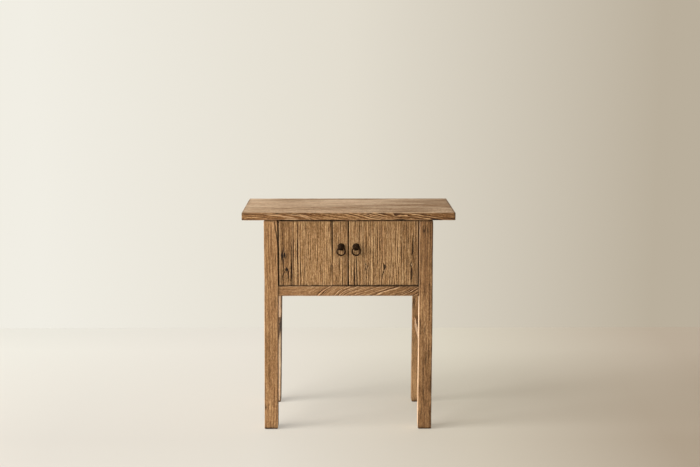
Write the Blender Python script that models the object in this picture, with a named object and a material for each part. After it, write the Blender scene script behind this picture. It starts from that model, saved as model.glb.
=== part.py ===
"""Console table in reclaimed elm: a plank top on four square legs, with a two-door cupboard under the top.

The frame is mortised and tenoned, the panels sit in grooves, and the planks of the top and of the doors
are held flat by dovetailed battens. Each plank door turns on two iron pins and has a ring pull.
Metres, +Z up. The origin is on the floor, under the middle of the table. The doors face -Y.
"""

import math

import bmesh
import bpy
from mathutils import Matrix, Vector

# Overall sizes
HEIGHT = 0.850
TOP_WIDTH = 0.808
TOP_DEPTH = 0.420
TOP_THICKNESS = 0.029
SIDE_OVERHANG = 0.083
EDGE_OVERHANG = 0.005
CUPBOARD_HEIGHT = 0.255

# Legs
LEG_SIDE = 0.052
LEG_TENON_SIDE = 0.024
LEG_TENON_LENGTH = 0.014

# Rails and stretchers
LOWER_RAIL_HEIGHT = 0.038
UPPER_RAIL_HEIGHT = 0.034
CROSS_RAIL_THICKNESS = 0.028
STOP_RAIL_THICKNESS = 0.024
SIDE_RAIL_THICKNESS = 0.040
FRONT_RAIL_RECESS = 0.002
REAR_RAIL_RECESS = 0.004
STRETCHER_BOTTOM = 0.323
STRETCHER_HEIGHT = 0.041
TENON_THICKNESS = 0.012
TENON_SHOULDER = 0.008
TENON_WALL = 0.002
SIDE_TENON_LENGTH = 0.018

# Panels and cupboard floor
PANEL_THICKNESS = 0.011
GROOVE_DEPTH = 0.005
BACK_LOWER_BOARD = 0.128
FLOOR_THICKNESS = 0.014
FLOOR_DROP = 0.004
FLOOR_FRONT_BOARD = 0.122
FLOOR_REAR_BOARD = 0.108
LEDGER_WIDTH = 0.018
LEDGER_HEIGHT = 0.017

# Planks and battens of the top
TOP_FRONT_PLANK = 0.152
TOP_REAR_PLANK = 0.134
TOP_BATTEN_SPACING = 0.270
TOP_BATTEN_WIDTH = 0.038
TOP_BATTEN_DROP = 0.018

# Doors
DOOR_THICKNESS = 0.020
DOOR_RECESS = 0.002
DOOR_SIDE_GAP = 0.003
DOOR_MEETING_GAP = 0.0026
DOOR_TOP_GAP = 0.003
DOOR_BOTTOM_GAP = 0.0025
DOOR_STOP_GAP = 0.0005
LEFT_HINGE_PLANK = 0.053
LEFT_MEETING_PLANK = 0.062
RIGHT_HINGE_PLANK = 0.063
RIGHT_MEETING_PLANK = 0.055
DOOR_BATTEN_WIDTH = 0.034
DOOR_BATTEN_PROUD = 0.011
DOOR_BATTEN_END = 0.020
BATTEN_BELOW_RAIL = 0.010
BATTEN_ABOVE_SILL = 0.030

# Sliding dovetails of the battens
DOVETAIL_DEPTH = 0.006
DOVETAIL_NECK = 0.020
DOVETAIL_TAIL = 0.025

# Door pivots
PIVOT_RADIUS = 0.0035
PIVOT_IN_DOOR = 0.022
PIVOT_IN_SOCKET = 0.012
WASHER_RADIUS = 0.0075

# Ring pulls
PULL_DROP = 0.0995
PULL_SETBACK = 0.0272
ROSETTE_RADIUS = 0.0135
ROSETTE_LIP = 0.0012
ROSETTE_RIM = 0.0014
ROSETTE_HEIGHT = 0.006
EYE_RADIUS = 0.00425
COTTER_WIRE = 0.0012
COTTER_STRAND_GAP = 0.0003
COTTER_TAIL = 0.012
RING_RADIUS = 0.0156
RING_WIRE = 0.0022
RING_HANG = 0.0005

# Worn edges, clearances of the joinery, and sides of the round pieces
LEG_ARRIS = 0.003
TOP_ARRIS = 0.003
RAIL_ARRIS = 0.002
BOARD_ARRIS = 0.0012
ARRIS_STEPS = 2
FIT_GAP = 0.0003
RUN_GAP = 0.0004
PIN_SIDES = 16
TURNED_SIDES = 28
WIRE_SIDES = 8
BEND_STEPS = 4
EYE_STEPS = 24

# Places that follow from the sizes above
SIDES = {"left": -1, "right": 1}
DOOR_PLANKS = {
    "left": (LEFT_HINGE_PLANK, LEFT_MEETING_PLANK),
    "right": (RIGHT_HINGE_PLANK, RIGHT_MEETING_PLANK),
}
COTTER_STRAND = COTTER_WIRE + COTTER_STRAND_GAP / 2
COTTER_BEND = COTTER_WIRE + FIT_GAP
PULL_BORE = COTTER_STRAND + COTTER_BEND
EYE_REACH = ROSETTE_HEIGHT + FIT_GAP + math.sqrt((EYE_RADIUS + COTTER_WIRE) ** 2 - PULL_BORE**2)
PULL_REACH = EYE_REACH + EYE_RADIUS + COTTER_WIRE - DOOR_RECESS
FRONT_Y = (max(PULL_REACH, EDGE_OVERHANG) + EDGE_OVERHANG - TOP_DEPTH) / 2
REAR_Y = FRONT_Y + TOP_DEPTH - 2 * EDGE_OVERHANG
UNDERSIDE = HEIGHT - TOP_THICKNESS
SILL_HEIGHT = UNDERSIDE - CUPBOARD_HEIGHT
LEG_TOP = UNDERSIDE - FIT_GAP
LEG_OUTER = TOP_WIDTH / 2 - SIDE_OVERHANG
LEG_INNER = LEG_OUTER - LEG_SIDE
LEG_MIDDLE = LEG_OUTER - LEG_SIDE / 2
BAY_FRONT = FRONT_Y + LEG_SIDE
BAY_REAR = REAR_Y - LEG_SIDE
CROSS_TENON_LENGTH = (LEG_SIDE - TENON_THICKNESS) / 2 - TENON_WALL
SILL_BOTTOM = SILL_HEIGHT - LOWER_RAIL_HEIGHT
HEAD_BOTTOM = LEG_TOP - UPPER_RAIL_HEIGHT
FRONT_RAIL_Y = FRONT_Y + FRONT_RAIL_RECESS
REAR_RAIL_Y = REAR_Y - REAR_RAIL_RECESS - CROSS_RAIL_THICKNESS
DOOR_FRONT = FRONT_Y + DOOR_RECESS
DOOR_BACK = DOOR_FRONT + DOOR_THICKNESS
DOOR_BOTTOM = SILL_HEIGHT + DOOR_BOTTOM_GAP
DOOR_TOP = UNDERSIDE - DOOR_TOP_GAP
DOOR_OUTER = LEG_INNER - DOOR_SIDE_GAP
DOOR_AXIS_X = DOOR_OUTER - DOOR_THICKNESS / 2
DOOR_AXIS_Y = DOOR_FRONT + DOOR_THICKNESS / 2
MEETING_X = DOOR_MEETING_GAP / 2
STOP_RAIL_Y = DOOR_BACK + DOOR_STOP_GAP
PULL_X = MEETING_X + PULL_SETBACK
PULL_Z = DOOR_TOP - PULL_DROP


# Shapes


def clear_scene():
    for old in list(bpy.data.objects):
        bpy.data.objects.remove(old, do_unlink=True)


def finish(name, colour, roughness, metallic=0.0):
    material = bpy.data.materials.new(name)
    material.use_nodes = True
    shader = material.node_tree.nodes["Principled BSDF"]
    shader.inputs["Base Color"].default_value = (*colour, 1.0)
    shader.inputs["Roughness"].default_value = roughness
    shader.inputs["Metallic"].default_value = metallic
    return material


def empty_at(name, place, parent=None):
    """A carrier for pieces that stay or move together. Place is in the table's frame."""
    carrier = bpy.data.objects.new(name, None)
    bpy.context.scene.collection.objects.link(carrier)
    carrier["place"] = list(place)
    carrier.parent = parent
    carrier.location = Vector(place) - (Vector(parent["place"]) if parent else Vector())
    return carrier


def solid_object(name, data, place, carrier, material):
    """Puts a mesh or curve, whose origin is at place in the table's frame, on its carrier."""
    piece = bpy.data.objects.new(name, data)
    bpy.context.scene.collection.objects.link(piece)
    piece.parent = carrier
    piece.location = Vector(place) - Vector(carrier["place"])
    if material:
        data.materials.append(material)
    return piece


def as_tool(piece):
    piece.hide_render = True
    piece.display_type = "WIRE"
    return piece


def mesh_from(bm, name, smooth=False):
    bmesh.ops.recalc_face_normals(bm, faces=bm.faces)
    mesh = bpy.data.meshes.new(name)
    bm.to_mesh(mesh)
    bm.free()
    if smooth:
        mesh.shade_smooth()
        mesh.set_sharp_from_angle(angle=math.radians(40))
    return mesh


def block(name, low, high, carrier, material, arris=0.0):
    """A rectangular piece between two corners, with its edges worn round by arris."""
    low, high = Vector(low), Vector(high)
    bm = bmesh.new()
    bmesh.ops.create_cube(bm, size=1.0, matrix=Matrix.Diagonal((*(high - low), 1.0)))
    if arris:
        bmesh.ops.bevel(
            bm, geom=bm.edges[:], offset=arris, segments=ARRIS_STEPS, profile=0.5, affect="EDGES"
        )
    return solid_object(name, mesh_from(bm, name), (low + high) / 2, carrier, material)


def block_tool(name, low, high, carrier):
    return as_tool(block(name, low, high, carrier, None))


def pocket_tool(name, low, high, carrier):
    """The room that a block between two corners needs, with a gap all round."""
    grow = Vector((FIT_GAP, FIT_GAP, FIT_GAP))
    return block_tool(name, Vector(low) - grow, Vector(high) + grow, carrier)


def spot(axis, along, across):
    """A point from its coordinate along an axis and the other two, in X, Y, Z order."""
    point = list(across)
    point.insert(axis, along)
    return Vector(point)


def prism(name, outline, axis, start, end, carrier, material):
    """An outline carried along X, Y or Z. Its points give the other two coordinates."""
    place = Vector(carrier["place"])
    bm = bmesh.new()
    face = bm.faces.new([bm.verts.new(spot(axis, start, point) - place) for point in outline])
    far = bmesh.ops.extrude_face_region(bm, geom=[face])["geom"]
    travel = spot(axis, end - start, (0.0, 0.0))
    bmesh.ops.translate(bm, vec=travel, verts=[v for v in far if isinstance(v, bmesh.types.BMVert)])
    return solid_object(name, mesh_from(bm, name), place, carrier, material)


def pin(name, radius, axis, low, high, across, carrier, material):
    """A round pin along X, Y or Z. Across gives its other two coordinates."""
    turn = Vector((0, 0, 1)).rotation_difference(spot(axis, 1.0, (0.0, 0.0)))
    bm = bmesh.new()
    bmesh.ops.create_cone(
        bm,
        cap_ends=True,
        segments=PIN_SIDES,
        radius1=radius,
        radius2=radius,
        depth=high - low,
        matrix=turn.to_matrix().to_4x4(),
    )
    middle = spot(axis, (low + high) / 2, across)
    return solid_object(name, mesh_from(bm, name, smooth=True), middle, carrier, material)


def turned(name, profile, axis, place, carrier, material):
    """A closed profile of (radius, along) points spun about an axis through place."""
    along = Vector(axis)
    out = along.orthogonal().normalized()
    bm = bmesh.new()
    points = [bm.verts.new(out * r + along * h) for r, h in profile]
    edges = [bm.edges.new((a, b)) for a, b in zip(points, points[1:] + points[:1])]
    bmesh.ops.spin(
        bm,
        geom=points + edges,
        axis=along,
        cent=(0, 0, 0),
        angle=math.tau,
        steps=TURNED_SIDES,
        use_merge=True,
    )
    return solid_object(name, mesh_from(bm, name, smooth=True), place, carrier, material)


def wire(name, points, radius, place, carrier, material):
    """A round wire through a list of points, with flat ends."""
    curve = bpy.data.curves.new(name, "CURVE")
    curve.dimensions = "3D"
    curve.bevel_depth = radius
    curve.bevel_resolution = WIRE_SIDES // 2 - 2
    curve.use_fill_caps = True
    line = curve.splines.new("POLY")
    line.points.add(len(points) - 1)
    for knot, point in zip(line.points, points):
        knot.co = (*(point - Vector(place)), 1.0)
    return solid_object(name, curve, place, carrier, material)


def boolean(host, tool, operation):
    step = host.modifiers.new(tool.name, "BOOLEAN")
    step.operation = operation
    step.solver = "EXACT"
    step.object = tool


def carve(tool, *hosts):
    for host in hosts:
        boolean(host, tool, "DIFFERENCE")


# Frame


def add_tenons(bar, low, high, axis, thin, length):
    """Gives a bar a tenon at each end, and returns the tool that cuts both mortises."""
    low, high = Vector(low), Vector(high)
    middle = (low[thin] + high[thin]) / 2
    low[thin] = middle - TENON_THICKNESS / 2
    high[thin] = middle + TENON_THICKNESS / 2
    low.z += TENON_SHOULDER
    high.z -= TENON_SHOULDER
    low[axis] -= length
    high[axis] += length
    boolean(bar, block_tool(bar.name + "_core", low, high, bar.parent), "UNION")
    return pocket_tool(bar.name + "_mortises", low, high, bar.parent)


def make_leg(end, side, frame, elm):
    """A leg with a tenon on top. Returns it with the tool that cuts the mortise in the top."""
    near, far = sorted((SIDES[side] * LEG_INNER, SIDES[side] * LEG_OUTER))
    front = FRONT_Y if end == "front" else BAY_REAR
    low, high = (near, front, 0.0), (far, front + LEG_SIDE, LEG_TOP)
    leg = block(f"leg_{end}_{side}", low, high, frame, elm, LEG_ARRIS)
    middle = Vector((SIDES[side] * LEG_MIDDLE, front + LEG_SIDE / 2, LEG_TOP))
    reach = Vector((LEG_TENON_SIDE / 2, LEG_TENON_SIDE / 2, LEG_TENON_LENGTH))
    boolean(leg, block_tool(leg.name + "_core", middle - reach, middle + reach, frame), "UNION")
    return leg, pocket_tool(leg.name + "_mortise", middle - reach, middle + reach, frame)


def make_cross_rail(name, front, thickness, bottom, height, frame, elm, legs):
    """A rail from leg to leg along X."""
    low = (FIT_GAP - LEG_INNER, front, bottom)
    high = (LEG_INNER - FIT_GAP, front + thickness, bottom + height)
    rail = block(name, low, high, frame, elm, RAIL_ARRIS)
    carve(add_tenons(rail, low, high, 0, 1, CROSS_TENON_LENGTH), *legs)
    return rail


def make_side_bar(name, side, bottom, height, frame, elm, legs):
    """A rail or stretcher from the front leg to the rear leg along Y."""
    middle = SIDES[side] * LEG_MIDDLE
    low = (middle - SIDE_RAIL_THICKNESS / 2, BAY_FRONT + FIT_GAP, bottom)
    high = (middle + SIDE_RAIL_THICKNESS / 2, BAY_REAR - FIT_GAP, bottom + height)
    bar = block(f"{name}_{side}", low, high, frame, elm, RAIL_ARRIS)
    carve(add_tenons(bar, low, high, 1, 0, SIDE_TENON_LENGTH), *legs)
    return bar


def make_side_panel(side, frame, elm, hosts):
    middle = SIDES[side] * LEG_MIDDLE
    low = (middle - PANEL_THICKNESS / 2, BAY_FRONT - GROOVE_DEPTH, SILL_HEIGHT - GROOVE_DEPTH)
    high = (middle + PANEL_THICKNESS / 2, BAY_REAR + GROOVE_DEPTH, HEAD_BOTTOM + GROOVE_DEPTH)
    block(f"side_panel_{side}", low, high, frame, elm, BOARD_ARRIS)
    carve(pocket_tool(f"side_panel_{side}_groove", low, high, frame), *hosts)


def make_back_boards(frame, elm, hosts):
    """Two boards, one above the other, in one groove round the back."""
    middle = REAR_RAIL_Y + CROSS_RAIL_THICKNESS / 2
    reach = LEG_INNER + GROOVE_DEPTH
    low = (-reach, middle - PANEL_THICKNESS / 2, SILL_HEIGHT - GROOVE_DEPTH)
    high = (reach, middle + PANEL_THICKNESS / 2, HEAD_BOTTOM + GROOVE_DEPTH)
    seam = SILL_HEIGHT - GROOVE_DEPTH + BACK_LOWER_BOARD
    block("back_board_lower", low, (*high[:2], seam), frame, elm, BOARD_ARRIS)
    block("back_board_upper", (*low[:2], seam + FIT_GAP), high, frame, elm, BOARD_ARRIS)
    carve(pocket_tool("back_groove", low, high, frame), *hosts)


def plank_spans(front, rear, front_width, rear_width):
    """Start and end of a front, a middle and a rear plank that fill a depth, edge to edge."""
    seams = (front + front_width, rear - rear_width)
    return {
        "front": (front, seams[0] - FIT_GAP),
        "middle": (seams[0], seams[1]),
        "rear": (seams[1] + FIT_GAP, rear),
    }


def make_cupboard_floor(frame, elm):
    """Three boards along X, whose ends lie on a ledger at each side."""
    top = SILL_HEIGHT - FLOOR_DROP
    bottom = top - FLOOR_THICKNESS
    reach = LEG_INNER - FIT_GAP
    front = FRONT_RAIL_Y + CROSS_RAIL_THICKNESS + FIT_GAP
    spans = plank_spans(front, REAR_RAIL_Y - FIT_GAP, FLOOR_FRONT_BOARD, FLOOR_REAR_BOARD)
    for name, (start, end) in spans.items():
        low, high = (-reach, start, bottom), (reach, end, top)
        block(f"cupboard_floor_{name}", low, high, frame, elm, BOARD_ARRIS)
    rail_face = LEG_MIDDLE - SIDE_RAIL_THICKNESS / 2 - FIT_GAP
    ledger_top = bottom - FIT_GAP
    for side, sign in SIDES.items():
        near, far = sorted((sign * (rail_face - LEDGER_WIDTH), sign * rail_face))
        low = (near, BAY_FRONT + FIT_GAP, ledger_top - LEDGER_HEIGHT)
        high = (far, BAY_REAR - FIT_GAP, ledger_top)
        block(f"floor_ledger_{side}", low, high, frame, elm, BOARD_ARRIS)


def make_frame(frame, elm, inner_elm):
    """Legs, rails, stretchers, panels and floor. Returns the sill rail and the tools for the top."""
    legs, leg_mortises = {}, []
    for end in ("front", "rear"):
        for side in SIDES:
            legs[end, side], mortise = make_leg(end, side, frame, elm)
            leg_mortises.append((end, mortise))
    front_legs = [legs["front", side] for side in SIDES]
    rear_legs = [legs["rear", side] for side in SIDES]
    lower = (SILL_BOTTOM, LOWER_RAIL_HEIGHT, frame, elm)
    upper = (HEAD_BOTTOM, UPPER_RAIL_HEIGHT, frame, elm)
    sill = make_cross_rail("front_lower_rail", FRONT_RAIL_Y, CROSS_RAIL_THICKNESS, *lower, front_legs)
    make_cross_rail("front_upper_rail", STOP_RAIL_Y, STOP_RAIL_THICKNESS, *upper, front_legs)
    back_rails = [
        make_cross_rail("rear_lower_rail", REAR_RAIL_Y, CROSS_RAIL_THICKNESS, *lower, rear_legs),
        make_cross_rail("rear_upper_rail", REAR_RAIL_Y, CROSS_RAIL_THICKNESS, *upper, rear_legs),
    ]
    make_back_boards(frame, inner_elm, rear_legs + back_rails)
    for side in SIDES:
        pair = [legs["front", side], legs["rear", side]]
        rails = [
            make_side_bar("side_lower_rail", side, *lower, pair),
            make_side_bar("side_upper_rail", side, *upper, pair),
        ]
        make_side_bar("side_stretcher", side, STRETCHER_BOTTOM, STRETCHER_HEIGHT, frame, elm, pair)
        make_side_panel(side, frame, elm, pair + rails)
    make_cupboard_floor(frame, inner_elm)
    return sill, leg_mortises


# Top


def batten_outline(across, face, width, proud, inward):
    """Section of a dovetailed batten: its tail goes past face along inward, its back stands proud."""
    seat = face - inward * FIT_GAP
    half, neck, wide = width / 2, DOVETAIL_NECK / 2, DOVETAIL_TAIL / 2
    right = [
        (half, seat - inward * proud),
        (half, seat),
        (neck, seat),
        (neck, face),
        (wide, face + inward * DOVETAIL_DEPTH),
    ]
    return [(across + x, y) for x, y in right] + [(across - x, y) for x, y in reversed(right)]


def dovetail_outline(across, face, inward):
    """Section of the groove for that tail, open past the face."""
    depth = DOVETAIL_DEPTH + FIT_GAP
    slope = (DOVETAIL_TAIL - DOVETAIL_NECK) / 2 / DOVETAIL_DEPTH
    neck = DOVETAIL_NECK / 2 + FIT_GAP
    right = [(neck - slope * depth, face - inward * depth), (neck + slope * depth, face + inward * depth)]
    return [(across + x, y) for x, y in right] + [(across - x, y) for x, y in reversed(right)]


def make_top(frame, elm, inner_elm, leg_mortises):
    half = TOP_WIDTH / 2
    planks = {}
    spans = plank_spans(FRONT_Y - EDGE_OVERHANG, REAR_Y + EDGE_OVERHANG, TOP_FRONT_PLANK, TOP_REAR_PLANK)
    for name, (start, end) in spans.items():
        low, high = (-half, start, UNDERSIDE), (half, end, HEIGHT)
        planks[name] = block(f"top_plank_{name}", low, high, frame, elm, TOP_ARRIS)
    for end, mortise in leg_mortises:
        carve(mortise, planks[end])
    start = STOP_RAIL_Y + STOP_RAIL_THICKNESS + FIT_GAP
    end = REAR_RAIL_Y - FIT_GAP
    for side, sign in SIDES.items():
        across = sign * TOP_BATTEN_SPACING / 2
        section = batten_outline(across, UNDERSIDE, TOP_BATTEN_WIDTH, TOP_BATTEN_DROP, 1)
        prism(f"top_batten_{side}", section, 1, start, end, frame, inner_elm)
        groove = dovetail_outline(across, UNDERSIDE, 1)
        tool = prism(f"top_groove_{side}", groove, 1, start - FIT_GAP, end + FIT_GAP, frame, None)
        carve(as_tool(tool), *planks.values())
    return planks


# Doors


def make_hinge_plank(side, inner, hinge, elm):
    """The plank at the hanging edge, whose outer edge is round about the pivot."""
    sign, radius, steps = SIDES[side], DOOR_THICKNESS / 2, TURNED_SIDES // 2
    outline = [(sign * inner, DOOR_FRONT)]
    for step in range(steps + 1):
        turn = math.pi * step / steps
        x = DOOR_AXIS_X + radius * math.sin(turn)
        outline.append((sign * x, DOOR_AXIS_Y - radius * math.cos(turn)))
    outline.append((sign * inner, DOOR_BACK))
    return prism(f"door_{side}_plank_hinge", outline, 2, DOOR_BOTTOM, DOOR_TOP, hinge, elm)


def make_door_planks(side, hinge, elm):
    hinge_width, meeting_width = DOOR_PLANKS[side]
    seam_out, seam_in = DOOR_OUTER - hinge_width, MEETING_X + meeting_width
    planks = {"hinge": make_hinge_plank(side, seam_out, hinge, elm)}
    spans = {"middle": (seam_in, seam_out - FIT_GAP), "meeting": (MEETING_X, seam_in - FIT_GAP)}
    for name, (start, end) in spans.items():
        near, far = sorted((SIDES[side] * start, SIDES[side] * end))
        low, high = (near, DOOR_FRONT, DOOR_BOTTOM), (far, DOOR_BACK, DOOR_TOP)
        planks[name] = block(f"door_{side}_plank_{name}", low, high, hinge, elm, BOARD_ARRIS)
    return planks


def make_door_battens(side, hinge, elm, planks):
    """Two battens let into the back of the door."""
    inner, outer = MEETING_X + DOOR_BATTEN_END, DOOR_OUTER - DOOR_THICKNESS - DOOR_BATTEN_END
    start, end = sorted((SIDES[side] * inner, SIDES[side] * outer))
    heights = {
        "upper": HEAD_BOTTOM - BATTEN_BELOW_RAIL - DOOR_BATTEN_WIDTH / 2,
        "lower": DOOR_BOTTOM + BATTEN_ABOVE_SILL + DOOR_BATTEN_WIDTH / 2,
    }
    for name, height in heights.items():
        section = batten_outline(height, DOOR_BACK, DOOR_BATTEN_WIDTH, DOOR_BATTEN_PROUD, -1)
        groove = dovetail_outline(height, DOOR_BACK, -1)
        section, groove = ([(y, z) for z, y in outline] for outline in (section, groove))
        prism(f"door_{side}_batten_{name}", section, 0, start, end, hinge, elm)
        tool = prism(f"door_{side}_groove_{name}", groove, 0, start - FIT_GAP, end + FIT_GAP, hinge, None)
        carve(as_tool(tool), *planks.values())


def make_pivots(side, hinge, frame, iron, plank, plank_above, rail_below):
    """An iron pin in each end of the hanging edge, and the washer that the door stands on."""
    axis = (SIDES[side] * DOOR_AXIS_X, DOOR_AXIS_Y)
    spans = {
        "upper": (DOOR_TOP - PIVOT_IN_DOOR, UNDERSIDE + PIVOT_IN_SOCKET, plank_above),
        "lower": (SILL_HEIGHT - PIVOT_IN_SOCKET, DOOR_BOTTOM + PIVOT_IN_DOOR, rail_below),
    }
    for name, (low, high, host) in spans.items():
        pin(f"door_{side}_pivot_{name}", PIVOT_RADIUS, 2, low, high, axis, hinge, iron)
        for hole, target, gap in (("bore", plank, FIT_GAP), ("socket", host, RUN_GAP)):
            room = (PIVOT_RADIUS + gap, 2, low - gap, high + gap)
            carve(as_tool(pin(f"door_{side}_{hole}_{name}", *room, axis, hinge, None)), target)
    low, high, hole = SILL_HEIGHT + FIT_GAP, DOOR_BOTTOM - FIT_GAP, PIVOT_RADIUS + RUN_GAP
    profile = [(hole, low), (WASHER_RADIUS, low), (WASHER_RADIUS, high), (hole, high)]
    turned(f"door_{side}_pivot_washer", profile, (0, 0, 1), (*axis, 0.0), frame, iron)


# Ring pulls


def arc_points(centre, radius, start, end, steps):
    """Points on an arc across X, at angles that go from -Y towards +Z."""
    turns = [start + (end - start) * step / steps for step in range(steps + 1)]
    return [centre + radius * Vector((0.0, -math.cos(turn), math.sin(turn))) for turn in turns]


def cotter_route(eye):
    """One wire: down the door's back, through to the eye, round it, through again and down the back."""
    corner = Vector((eye.x, DOOR_BACK, eye.z + PULL_BORE))
    upper = [Vector((eye.x, DOOR_BACK + COTTER_BEND, eye.z + PULL_BORE + COTTER_TAIL))]
    upper += arc_points(corner, COTTER_BEND, math.pi, 1.5 * math.pi, BEND_STEPS)
    neck = math.pi - math.asin(COTTER_STRAND / EYE_RADIUS)
    lower = [Vector((p.x, p.y, 2 * eye.z - p.z)) for p in reversed(upper)]
    return upper + arc_points(eye, EYE_RADIUS, neck, -neck, EYE_STEPS) + lower


def rosette_profile():
    """Flat back, thin rim and a dome, with a hole for the cotter."""
    dome = ROSETTE_RADIUS - ROSETTE_LIP
    last = math.acos(PULL_BORE / dome)
    profile = [(PULL_BORE, FIT_GAP), (ROSETTE_RADIUS, FIT_GAP), (ROSETTE_RADIUS, ROSETTE_RIM)]
    for step in range(BEND_STEPS + 2):
        turn = last * step / (BEND_STEPS + 1)
        height = ROSETTE_RIM + (ROSETTE_HEIGHT - ROSETTE_RIM) * math.sin(turn)
        profile.append((dome * math.cos(turn), height))
    return profile


def make_pull(side, hinge, iron, plank):
    eye = Vector((SIDES[side] * PULL_X, DOOR_FRONT - EYE_REACH, PULL_Z))
    seat = (eye.x, DOOR_FRONT, eye.z)
    turned(f"door_{side}_pull_rosette", rosette_profile(), (0, -1, 0), seat, hinge, iron)
    wire(f"door_{side}_pull_cotter", cotter_route(eye), COTTER_WIRE, eye, hinge, iron)
    hole = (PULL_BORE, 1, DOOR_FRONT - FIT_GAP, DOOR_BACK + FIT_GAP, (eye.x, eye.z))
    carve(as_tool(pin(f"door_{side}_pull_hole", *hole, hinge, None)), plank)

    swing = empty_at(f"ring_{side}_swing", (eye.x, eye.y, eye.z - RING_HANG), hinge)
    turns = [math.tau * step / WIRE_SIDES for step in range(WIRE_SIDES)]
    section = [(RING_RADIUS + RING_WIRE * math.cos(t), RING_WIRE * math.sin(t)) for t in turns]
    centre = (eye.x, eye.y, eye.z - RING_HANG - RING_RADIUS)
    turned(f"door_{side}_pull_ring", section, (0, -1, 0), centre, swing, iron)


def main():
    clear_scene()
    frame_elm = finish("frame_elm", (0.376, 0.205, 0.091), 0.72)
    top_elm = finish("top_elm", (0.485, 0.328, 0.188), 0.68)
    door_elm = finish("door_elm", (0.330, 0.178, 0.080), 0.76)
    inner_elm = finish("inner_elm", (0.429, 0.262, 0.127), 0.80)
    iron = finish("iron", (0.026, 0.018, 0.013), 0.55, 0.8)

    frame = empty_at("frame", (0.0, 0.0, 0.0))
    sill, leg_mortises = make_frame(frame, frame_elm, inner_elm)
    top_planks = make_top(frame, top_elm, inner_elm, leg_mortises)
    for side, sign in SIDES.items():
        hinge = empty_at(f"door_{side}_hinge", (sign * DOOR_AXIS_X, DOOR_AXIS_Y, DOOR_BOTTOM), frame)
        planks = make_door_planks(side, hinge, door_elm)
        make_door_battens(side, hinge, inner_elm, planks)
        make_pivots(side, hinge, frame, iron, planks["hinge"], top_planks["front"], sill)
        make_pull(side, hinge, iron, planks["meeting"])


main()
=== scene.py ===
import math
from functools import partial
from itertools import product

import bpy
import numpy as np
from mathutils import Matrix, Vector


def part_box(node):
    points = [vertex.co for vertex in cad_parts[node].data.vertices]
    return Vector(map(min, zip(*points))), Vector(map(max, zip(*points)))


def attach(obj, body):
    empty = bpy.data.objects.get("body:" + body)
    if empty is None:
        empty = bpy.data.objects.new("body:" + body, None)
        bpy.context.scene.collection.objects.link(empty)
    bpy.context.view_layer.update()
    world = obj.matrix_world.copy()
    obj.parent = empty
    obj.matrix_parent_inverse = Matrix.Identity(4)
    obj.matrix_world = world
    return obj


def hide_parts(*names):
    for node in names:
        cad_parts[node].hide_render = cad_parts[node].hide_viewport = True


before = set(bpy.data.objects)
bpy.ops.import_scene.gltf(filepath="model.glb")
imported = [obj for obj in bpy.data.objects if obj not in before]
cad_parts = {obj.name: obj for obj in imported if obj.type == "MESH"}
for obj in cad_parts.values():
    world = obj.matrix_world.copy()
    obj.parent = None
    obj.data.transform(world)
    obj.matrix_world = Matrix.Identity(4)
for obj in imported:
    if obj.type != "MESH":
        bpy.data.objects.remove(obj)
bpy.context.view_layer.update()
print("frame loaded:", len(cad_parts), "nodes")


# Noise and wood

hashSteps = np.array([73856093, 19349663, 83492791])
seedStep = 40503
hashRounds = ((13, 1274126177), (16, 2246822519))  # shift and factor
wordMask = 0xFFFFFFFF


# Value noise from -1 to 1: a number hashed at every whole point, blended between points by smooth steps.
def softNoise(seed, *coords):
    points = np.stack(np.broadcast_arrays(*coords), -1).astype(float)
    cell = np.floor(points).astype(np.int64)
    blend = points - cell
    blend = blend * blend * (3 - 2 * blend)
    total = np.zeros(points.shape[:-1])
    for corner in product((0, 1), repeat=points.shape[-1]):
        key = ((cell + corner) * hashSteps[: len(corner)]).sum(-1) + seed * seedStep
        for shift, factor in hashRounds:
            key = (key ^ (key >> shift)) * factor & wordMask
        value = ((key >> 8) & 0xFFFF) / 32767.5 - 1
        total += value * np.where(corner, blend, 1 - blend).prod(-1)
    return total


# Noise over a board's (along, across, through): waves a metre along the grain and, if given, across and through it.
def boardNoise(seed, spot, longWave, crossWave=0):
    along, across, through = spot
    if crossWave:
        return softNoise(seed, along * longWave, across * crossWave, through * crossWave)
    return softNoise(seed, along * longWave)


# Smooth step from 0 at low to 1 at high.
def smoothStep(low, high, value):
    share = np.clip((value - low) / (high - low), 0, 1)
    return share * share * (3 - 2 * share)


# One value, or a value that changes evenly between (along, value) points.
def valueAlong(points, along):
    return points if np.isscalar(points) else np.interp(along, *np.array(points).T)


# Depth of a year's ring over its own width: a steep wall at its start, then a slow rise to the next one.
def ringGroove(phase):
    share = phase - np.floor(phase)
    return np.exp(-((share / 0.17) ** 2)) + np.exp(-(((1 - share) / 0.07) ** 2))


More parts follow.
